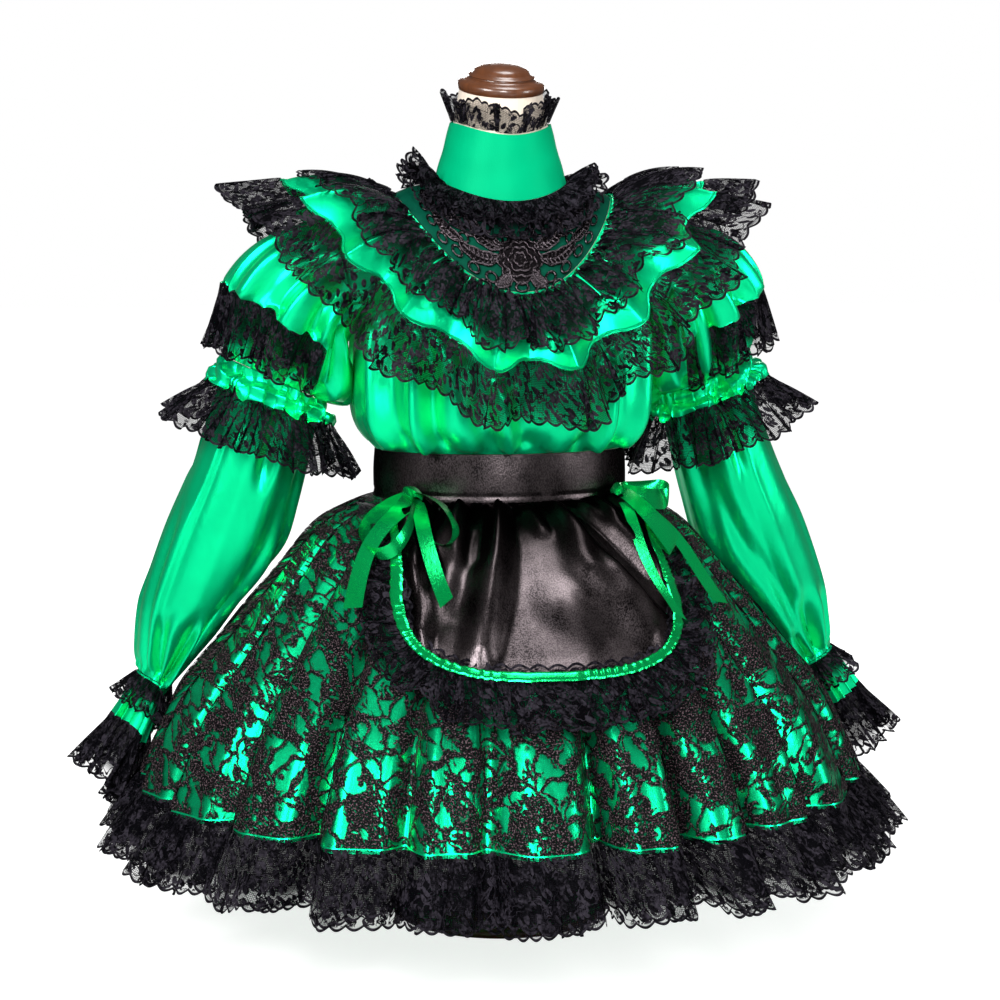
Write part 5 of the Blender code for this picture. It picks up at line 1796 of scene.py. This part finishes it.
@dataclass(frozen=True)
class Apron:
    """The black satin apron, its laces, ruched ribbon and bows.

    Its creases are given across it from -1 to 1 and down it from 0 to 1.
    """

    edge_end: float = 0.95
    creases: tuple[Crease, ...] = (
        Crease(-0.14, 0.02, -0.20, 0.98, 0.085, 0.0120), Crease(0.26, 0.02, 0.17, 0.60, 0.085, 0.0120),
        Crease(-0.40, 0.02, -0.70, 0.74, 0.095, 0.0110), Crease(0.48, 0.02, 0.72, 0.86, 0.095, 0.0110),
        Crease(-0.70, 0.02, -0.94, 0.52, 0.08, 0.0070), Crease(0.80, 0.02, 0.96, 0.46, 0.08, 0.0070),
        Crease(-0.40, 0.50, -0.50, 1.02, 0.10, 0.0085), Crease(0.30, 0.44, 0.40, 1.02, 0.11, 0.0100),
        Crease(0.02, 0.02, 0.05, 0.30, 0.045, 0.0070), Crease(-0.26, 0.02, -0.32, 0.30, 0.05, 0.0060),
        Crease(0.62, 0.02, 0.60, 0.32, 0.05, 0.0055), Crease(-0.54, 0.02, -0.56, 0.26, 0.05, 0.0050),
        Crease(-0.05, 0.04, -0.06, 1.10, 0.070, -0.0130), Crease(0.30, 0.08, 0.66, 0.92, 0.070, -0.0120),
        Crease(-0.34, 0.06, -0.26, 0.48, 0.075, -0.0110), Crease(-0.66, 0.36, -0.34, 0.98, 0.075, -0.0090),
    )
    waist: Gathers = Gathers(24, 0.0030, 0.35, 0.0)
    ruche: Gathers = Gathers(48, 0.0013, 0.42, 0.4, 1.6)

    def make(self) -> None:
        """Builds the apron's sheets and bows."""
        self._panel()
        self._wide_lace()
        self._narrow_lace()
        self._ribbon()
        Bow(1, "left").make()
        Bow(-1, "right").make()

    def _panel(self) -> None:
        """The satin panel, gathered into the waistband, with folds that fan out below it."""
        r, u = net_of(0, 1, 60, -1, 1, 130)
        edge_along, edge_down = apron_edge(0.80 * u)
        along = (1 - r) * APRON_TOP_HALF * u + r * edge_along
        down = (1 - r) * APRON_TUCK + r * edge_down
        calm = ramp(0.94 - r, 0.30) * ramp(r, 0.15)
        swell = 0.0080 + 0.0025 * np.sin(6.6 * u + 0.9 + 1.9 * np.sin(4.4 * r + 0.6))
        height = creased(self.creases, u, r) + swell * calm * calm * (3 - 2 * calm)
        height += self.waist.depth * self.waist.height((u + 1) / 2) * hump(r - 0.06, 0.16)
        height = np.maximum(height, -0.0020) * np.clip((1.02 - r) / 0.12, 0.15, 1) * ramp(r, 0.03)
        rests_on = ("skirt_lace_front", "waistband_satin")
        sheet = Sheet("apron_satin", Look.APRON, "apron", rests_on, Held.HUNG)
        sheet.make(moved(over_skirt(along, down, APRON_LIFT), height))

    def _round_edge(self, first_row: float, rows: int, columns: int) -> tuple[Array, Array]:
        """Rows up to 1 and places on the apron's edge."""
        return net_of(first_row, 1, rows, -self.edge_end, self.edge_end, columns)

    def _wide_lace(self) -> None:
        """The wide gathered lace outside the edge."""
        t, s = self._round_edge(0, 14, 620)
        low = np.cos(np.minimum(np.abs(s) / 0.75, 1) * np.pi / 2) ** 2
        width = APRON_LACE_SIDE + low * (APRON_LACE_LOW - APRON_LACE_SIDE)
        along, down = beside_apron(s, 2 * SEAM + t * width * (1 + 0.10 * uneven(s / 2, 0.4)))
        free = np.minimum(1, (1 - np.abs(s)) / 0.4)
        lift = APRON_LIFT + t * (0.003 + free * (0.008 + 0.006 * waves(s / 2, 10, 0.3)))
        grid = over_skirt(along, down, lift)
        grid = Gathers(24, 0.0110, 0.35, 0.45, 0.5).apply(grid, (s + 1) / 2, t ** 0.7 * (0.4 + 0.6 * free))
        rests_on = ("skirt_lace_front",)
        Sheet("apron_lace_wide", Look.SOFT, "apron_lace", rests_on, grain=Grain.GATHERED).make(grid)

    def _narrow_lace(self) -> None:
        """The narrow lace inside the ribbon."""
        t, s = self._round_edge(0, 6, 620)
        grid = over_skirt(*beside_apron(s, -0.004 - 0.014 * t), APRON_LIFT + SATIN + LIE + 0.003 * t)
        grid = Gathers(60, 0.0018, 0.9, 0.4).apply(grid, (s + 1) / 2, t)
        Sheet("apron_lace_narrow", Look.DENSE, "", ("apron_satin",), grain=Grain.GATHERED).make(grid)

    def _ribbon(self) -> None:
        """The ruched ribbon round the edge."""
        t, s = self._round_edge(-1, 9, 900)
        share = (s + 1) / 2
        waver = 0.0005 * np.sin(2 * np.pi * 60 * share + 3 * np.sin(2 * np.pi * 7 * share))
        lift = APRON_LIFT + SATIN / 2 + 0.0029 + 0.0016 * (1 - t ** 4)
        grid = over_skirt(*beside_apron(s, t * RIBBON_WIDTH / 2 + waver), lift)
        growth = (0.75 + 0.25 * np.abs(t)) * (0.60 + 0.40 * uneven(share, 0.1))
        rests_on = ("apron_satin",)
        sheet = Sheet("apron_ribbon_ruched", Look.RIBBON, "apron_ribbon", rests_on, grain=Grain.GATHERED)
        sheet.make(self.ruche.apply(grid, share, growth))


# The loops and tails of the bows, each turned from straight down towards the dress's side
Strip = namedtuple("Strip", "turn_deg length width rise swing tilt_deg curl", defaults=(0.0,))
LOOPS = {
    "left": (Strip(84, 0.076, 0.021, 0.004, 0.012, 66), Strip(38, 0.078, 0.024, 0.008, 0.005, 14)),
    "right": (Strip(50, 0.088, 0.018, 0.004, 0.025, 72), Strip(-39, 0.055, 0.021, 0.009, 0.019, 48)),
}
TAILS = {
    "left": (
        Strip(31, 0.160, 0.013, 0.016, 0.016, 22, 1.0), Strip(3, 0.146, 0.014, 0.016, -0.010, 18, 1.4)
    ),
    "right": (
        Strip(35, 0.160, 0.014, 0.016, 0.020, 22, 1.0), Strip(-6, 0.120, 0.018, 0.014, 0.004, 8, 1.0)
    ),
}


@dataclass(frozen=True)
class Bow:
    """A ribbon bow on a top corner of the apron."""

    side: int
    mark: str
    knot_radius: float = 0.0108
    knot_half: float = 0.0052
    least_share: float = -0.9
    past_deg: float = 14.0

    def place(self, sideways: Array, down: Array, lift: Array) -> Array:
        """Points beside the knot in the front view, laid over the skirt.

        Args:
            sideways: Distance to the dress's side.
            down: Height below the knot.
            lift: Height over the skirt's crests.

        Returns:
            The points.
        """
        knot = skirt_row(skirt_row_at(np.array(BOW_DOWN)))
        steps = np.linspace(0, len(SKIRT) - 1, 81)
        t = np.interp(down - knot[0], -skirt_row(steps)[:, 0], steps)
        width = skirt_row(t)[..., 1] + CREST * skirt_row(t)[..., 3]
        along = (knot[1] + CREST * knot[3]) * math.sin(math.radians(BOW_BEARING)) + sideways
        most = math.sin(math.radians(BOW_BEARING + self.past_deg))
        share = np.clip(along / width, self.least_share, most)
        bearing = self.side * np.degrees(np.arcsin(share))
        points = lifted(crest_surface, t, bearing, BOW_LIFT[self.mark] + lift)
        points[..., 0] += self.side * (along - width * share)
        return points

    def make(self) -> None:
        """Builds the knot, the two loops and the two tails."""
        grids = [self._knot()]
        grids += [self._loop(strip) for strip in LOOPS[self.mark]]
        grids += [self._tail(strip) for strip in TAILS[self.mark]]
        bow = f"bow_{self.mark}"
        for name, grid in zip(("knot", "loop_a", "loop_b", "tail_a", "tail_b"), grids):
            knot = name == "knot"
            node = bow if knot else ""
            sheet = Sheet(f"{bow}_{name}", Look.RIBBON, node, ("apron_satin",), Held.FOLDED, closed=knot)
            sheet.make(grid)

    def _strip_points(self, strip: Strip, out: Array, aside: Array, lift: Array, across: Array) -> Array:
        """Points of a strip.

        Args:
            strip: The strip.
            out: Length out from the knot.
            aside: Length beside the strip's own line.
            lift: Height over the knot's middle.
            across: Place across the ribbon, in metres.

        Returns:
            The points.
        """
        a, tilt = math.radians(strip.turn_deg), math.radians(strip.tilt_deg)
        flat = aside + across * math.cos(tilt)
        sideways = out * math.sin(a) + flat * math.cos(a)
        down = out * math.cos(a) - flat * math.sin(a)
        return self.place(sideways, down, lift + across * math.sin(tilt))

    def _loop(self, strip: Strip) -> Array:
        """A loop out and back.

        Args:
            strip: The strip.

        Returns:
            The grid.
        """
        across, turn = net_of(-0.5, 0.5, 7, 14, 346, 46)
        a = np.radians(turn)
        out = strip.length * (0.5 - 0.5 * np.cos(a))
        flare = 0.55 + 0.45 * np.sin(a / 2)
        aside = strip.swing * np.sin(a) * np.sin(a / 2)
        return self._strip_points(strip, out, aside, -strip.rise * np.sin(a), across * strip.width * flare)

    def _tail(self, strip: Strip) -> Array:
        """A tail that curls a little and ends in a slanted cut.

        Args:
            strip: The strip.

        Returns:
            The grid.
        """
        across, out = net_of(-0.5, 0.5, 7, 0, 1, 44)
        aside = strip.swing * np.sin(np.pi * strip.curl * out)
        lift = -0.002 + strip.rise * out + 0.004 * np.sin(7 * out) * out
        length = strip.length * (out + 0.10 * across * out)
        return self._strip_points(strip, length, aside, lift, across * strip.width)

    def _knot(self) -> Array:
        """The round knot.

        Returns:
            The grid.
        """
        down, turn = net_of(-1, 1, 12, 0, 360 * (1 - 1 / 28), 28)
        a = np.radians(turn)
        size = self.knot_radius * (1 - 0.50 * np.abs(down) ** 3) * (1 + 0.05 * np.sin(5 * a + 3 * down))
        return self.place(size * np.sin(a), self.knot_half * down, 0.9 * size * np.cos(a))


# A leaf of the yoke's motif, for the +X side
MotifLeaf = namedtuple("MotifLeaf", "along up turn_deg length width")


@dataclass(frozen=True)
class Motif:
    """The raised corded motif on the front of the yoke: a rose, leaves and rings."""

    cord: float = 0.0019
    cord_lift: float = 0.0012
    plate_lift: float = 0.0010
    ring_radius: float = 0.0068
    sides: int = 6
    rose: tuple[tuple[float, int, float], ...] = (
        (0.0270, 9, 0.0056), (0.0200, 8, 0.0042), (0.0132, 6, 0.0034), (0.0066, 5, 0.0024)
    )
    leaves: tuple[MotifLeaf, ...] = (
        MotifLeaf(0.052, 0.016, 16, 0.056, 0.020), MotifLeaf(0.056, -0.012, -10, 0.056, 0.018),
        MotifLeaf(0.108, 0.018, 18, 0.052, 0.020), MotifLeaf(0.106, -0.008, 4, 0.050, 0.018),
        MotifLeaf(0.152, 0.014, 16, 0.046, 0.018), MotifLeaf(0.020, -0.030, -62, 0.028, 0.014),
        MotifLeaf(0.078, 0.034, 30, 0.038, 0.014), MotifLeaf(0.130, 0.034, 26, 0.036, 0.014),
    )
    rings: tuple[tuple[float, float], ...] = (
        (0.080, 0.001), (0.130, 0.002), (0.037, -0.031), (0.060, -0.031), (0.084, -0.026),
        (0.106, -0.027), (0.148, -0.008), (0.0, -0.036), (0.031, 0.022), (0.019, 0.036), (0.050, 0.036),
        (0.074, 0.016), (0.022, -0.044), (0.098, 0.033), (0.128, -0.018), (0.043, -0.046),
    )

    @staticmethod
    def on_yoke(flat: Array, lift: float) -> list:
        """Points over the yoke.

        Args:
            flat: Places along the yoke and up it.
            lift: Height over its cloth.

        Returns:
            The points, as lists.
        """
        bearing = np.degrees(flat[:, 0] / MOTIF_RADIUS)
        row = MOTIF_ROW - flat[:, 1] / MOTIF_ROW_LENGTH
        return lifted(body_surface, row, bearing, SATIN / 2 + LIE + lift).tolist()

    def make(self) -> None:
        """Builds the cords as tubes and the cloth inside the rose and the leaves, in one mesh."""
        paths = [self._circle(0.0, 0.0, *ring) for ring in self.rose]
        plates = paths[:1]
        for side in (-1, 1):
            for leaf in self.leaves:
                flats = self._leaf(leaf, side)
                paths += flats
                plates.append(flats[0])
            for along, up in self.rings:
                if along or side > 0:
                    paths.append(self._circle(side * along, up, self.ring_radius))
        points: list = []
        faces: list = []
        for path in paths:
            self._tube(path, points, faces)
        for path in plates:
            start, count = len(points), len(path)
            flat = np.concatenate((path, path.mean(axis=0)[None]))
            points.extend(self.on_yoke(flat, self.plate_lift))
            faces.extend((start + k, start + k + 1, start + count) for k in range(count - 1))
        ride(smooth_piece("motif_cords", points, faces), Look.CORD, "applique")

    @staticmethod
    def _circle(x: float, y: float, radius: float, petals: int = 0, depth: float = 0.0) -> Array:
        """A closed, perhaps scalloped, ring.

        Args:
            x: Its middle along the yoke.
            y: Its middle up the yoke.
            radius: Its radius.
            petals: How many scallops it has.
            depth: Their depth.

        Returns:
            The path's flat points.
        """
        a = np.linspace(0, 2 * np.pi, 49 if petals else 25)
        r = radius + depth * np.abs(np.sin(petals * a / 2))
        return np.stack((x + r * np.sin(a), y + r * np.cos(a)), axis=1)

    @staticmethod
    def _leaf(leaf: MotifLeaf, side: int) -> list[Array]:
        """A leaf's outline, midrib and ribs.

        Args:
            leaf: The leaf.
            side: 1 for +X and -1 for -X.

        Returns:
            Flat paths, the outline first.
        """
        tilt = math.radians(leaf.turn_deg)
        a = np.linspace(0, 2 * np.pi, 33)
        wavy = leaf.width / 2 * np.sin(a) * (1 + 0.10 * np.cos(9 * a))
        along = np.linspace(-0.46, 0.46, 12) * leaf.length
        flats = [(leaf.length / 2 * np.cos(a), wavy), (along, 0.0015 * np.sin(along * 90))]
        rib = np.linspace(-1, 1, 7)
        for k in np.linspace(-0.36, 0.30, 7):
            reach = leaf.width / 2 * math.sqrt(max(0.0, 1 - (2 * k) ** 2)) * 0.96
            flats.append((leaf.length * k + 0.0035 * np.abs(rib), reach * rib))
        turned = []
        for x, y in flats:
            bend = y + leaf.length * 0.10 * (2 * x / leaf.length) ** 2
            along = x * math.cos(tilt) - bend * math.sin(tilt)
            up = x * math.sin(tilt) + bend * math.cos(tilt)
            turned.append(np.stack((side * (leaf.along + along), leaf.up + up), axis=1))
        return turned

    def _tube(self, path: Array, points: list, faces: list) -> None:
        """Adds a tube along a flat path.

        Args:
            path: The path's flat points.
            points: The mesh's points so far.
            faces: The mesh's faces so far.
        """
        ahead = unit(np.gradient(path, axis=0))
        across = np.stack((-ahead[:, 1], ahead[:, 0]), axis=1)
        start, count = len(points), len(path)
        for k in range(self.sides):
            a = 2 * math.pi * k / self.sides
            flat = path + across * (self.cord * math.cos(a))
            points.extend(self.on_yoke(flat, self.cord_lift + self.cord * math.sin(a)))
        starts = [start + k * count for k in range(self.sides)]
        for a, b in zip(starts, starts[1:] + starts[:1]):
            faces.extend((a + i, a + i + 1, b + i + 1, b + i) for i in range(count - 1))
        faces.append(starts)
        faces.append([a + count - 1 for a in starts][::-1])


@dataclass(frozen=True)
class Buttons:
    """The covered buttons beside the back opening."""

    rows: tuple[float, ...] = (4.1, 4.9, 5.6, 6.3)
    bearing: float = 176.6
    radius: float = 0.0060
    dome: tuple[float, float, float] = (0.96, 0.96, 0.38)

    def make(self) -> None:
        """Builds each button as a flattened, smooth dome."""
        for number, row in enumerate(self.rows, start=1):
            node = f"back_button_{number}"
            t, turn = np.array([row]), np.array([self.bearing])
            facing = Vector(lifted(body_surface, t, turn, 1.0)[0] - body_surface(t, turn)[0])
            bpy.ops.object.select_all(action="DESELECT")
            bpy.ops.mesh.primitive_uv_sphere_add(segments=28, ring_count=16, radius=self.radius)
            piece = bpy.context.active_object
            piece.name = piece.data.name = f"button_{number}"
            turn_to = facing.to_track_quat("Z", "Y").to_matrix().to_4x4()
            middle = Matrix.Translation(Vector(np.array(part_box(node)).mean(axis=0)))
            piece.data.transform(middle @ turn_to @ Matrix.Diagonal((*self.dome, 1.0)))
            bpy.ops.object.shade_smooth()
            ride(piece, Look.GREEN, node)


Lamp = namedtuple("Lamp", "name place size power")


@dataclass(frozen=True)
class Studio:
    """Camera, world, floor and lights: a key from the upper left, a fill, and lamps for the sheen."""

    lens: float = 80.0
    distance: float = 3.11
    bearing_deg: float = -12.0
    pitch_deg: float = 83.4
    height: float = 0.949
    aim_height: float = 0.62
    world_light: float = 0.11
    lamps: tuple[Lamp, ...] = (
        Lamp("key", (-2.4, -2.3, 2.2), 1.2, 124.0), Lamp("fill", (2.6, -1.6, 1.3), 0.9, 32.0),
        Lamp("top", (0.3, -0.5, 3.2), 1.0, 40.0), Lamp("front", (-0.3, -3.5, 1.7), 0.9, 84.0),
        Lamp("back", (0.8, 3.4, 1.9), 1.3, 60.0),
    )

    def make(self) -> None:
        """Sets the studio up."""
        self._camera()
        self._world()
        for lamp in self.lamps:
            self._light(lamp)
        self._floor()

    def _camera(self) -> None:
        """The photo's camera."""
        data = bpy.data.cameras.new("camera")
        data.lens = self.lens
        data.sensor_width = 36.0
        camera = bpy.data.objects.new("camera", data)
        bpy.context.scene.collection.objects.link(camera)
        a = math.radians(self.bearing_deg)
        camera.location = (self.distance * math.sin(a), -self.distance * math.cos(a), self.height)
        camera.rotation_euler = (math.radians(self.pitch_deg), 0, a)
        bpy.context.scene.camera = camera
        bpy.context.scene.view_settings.view_transform = "Standard"

    def _world(self) -> None:
        """White behind the dress, and a softer white for the light that falls on it."""
        world = bpy.data.worlds.new("studio")
        bpy.context.scene.world = world
        world.use_nodes = True
        nodes, links = world.node_tree.nodes, world.node_tree.links
        background = nodes["Background"]
        background.inputs["Color"].default_value = (1, 1, 1, 1)
        path = nodes.new("ShaderNodeLightPath")
        strength = nodes.new("ShaderNodeMapRange")
        strength.inputs["To Min"].default_value = self.world_light
        strength.inputs["To Max"].default_value = 1.0
        links.new(path.outputs["Is Camera Ray"], strength.inputs["Value"])
        links.new(strength.outputs["Result"], background.inputs["Strength"])

    def _light(self, lamp: Lamp) -> None:
        """Hangs one lamp, aimed at the dress's middle.

        Args:
            lamp: The lamp.
        """
        data = bpy.data.lights.new(lamp.name, "AREA")
        data.energy = lamp.power
        data.size = lamp.size
        light = bpy.data.objects.new(lamp.name, data)
        bpy.context.scene.collection.objects.link(light)
        light.location = lamp.place
        aim = Vector((0, 0, self.aim_height)) - Vector(lamp.place)
        light.rotation_euler = aim.to_track_quat("-Z", "Y").to_euler()

    @staticmethod
    def _floor() -> None:
        """The pale floor."""
        bpy.ops.object.select_all(action="DESELECT")
        bpy.ops.mesh.primitive_plane_add(size=60)
        floor = bpy.context.active_object
        floor.name = "floor"
        floor.data.materials.append(Paper().make())


def main() -> None:
    """Builds the studio and every piece."""
    pieces = (
        Studio(), Form(), Skirt(), Body(), Bertha(), Sleeve(1, "left", 0.35), Sleeve(-1, "right", 0.0),
        Apron(), Motif(), Buttons(),
    )
    for piece in pieces:
        piece.make()
    bpy.context.view_layer.update()


if __name__ == "__main__":
    main()
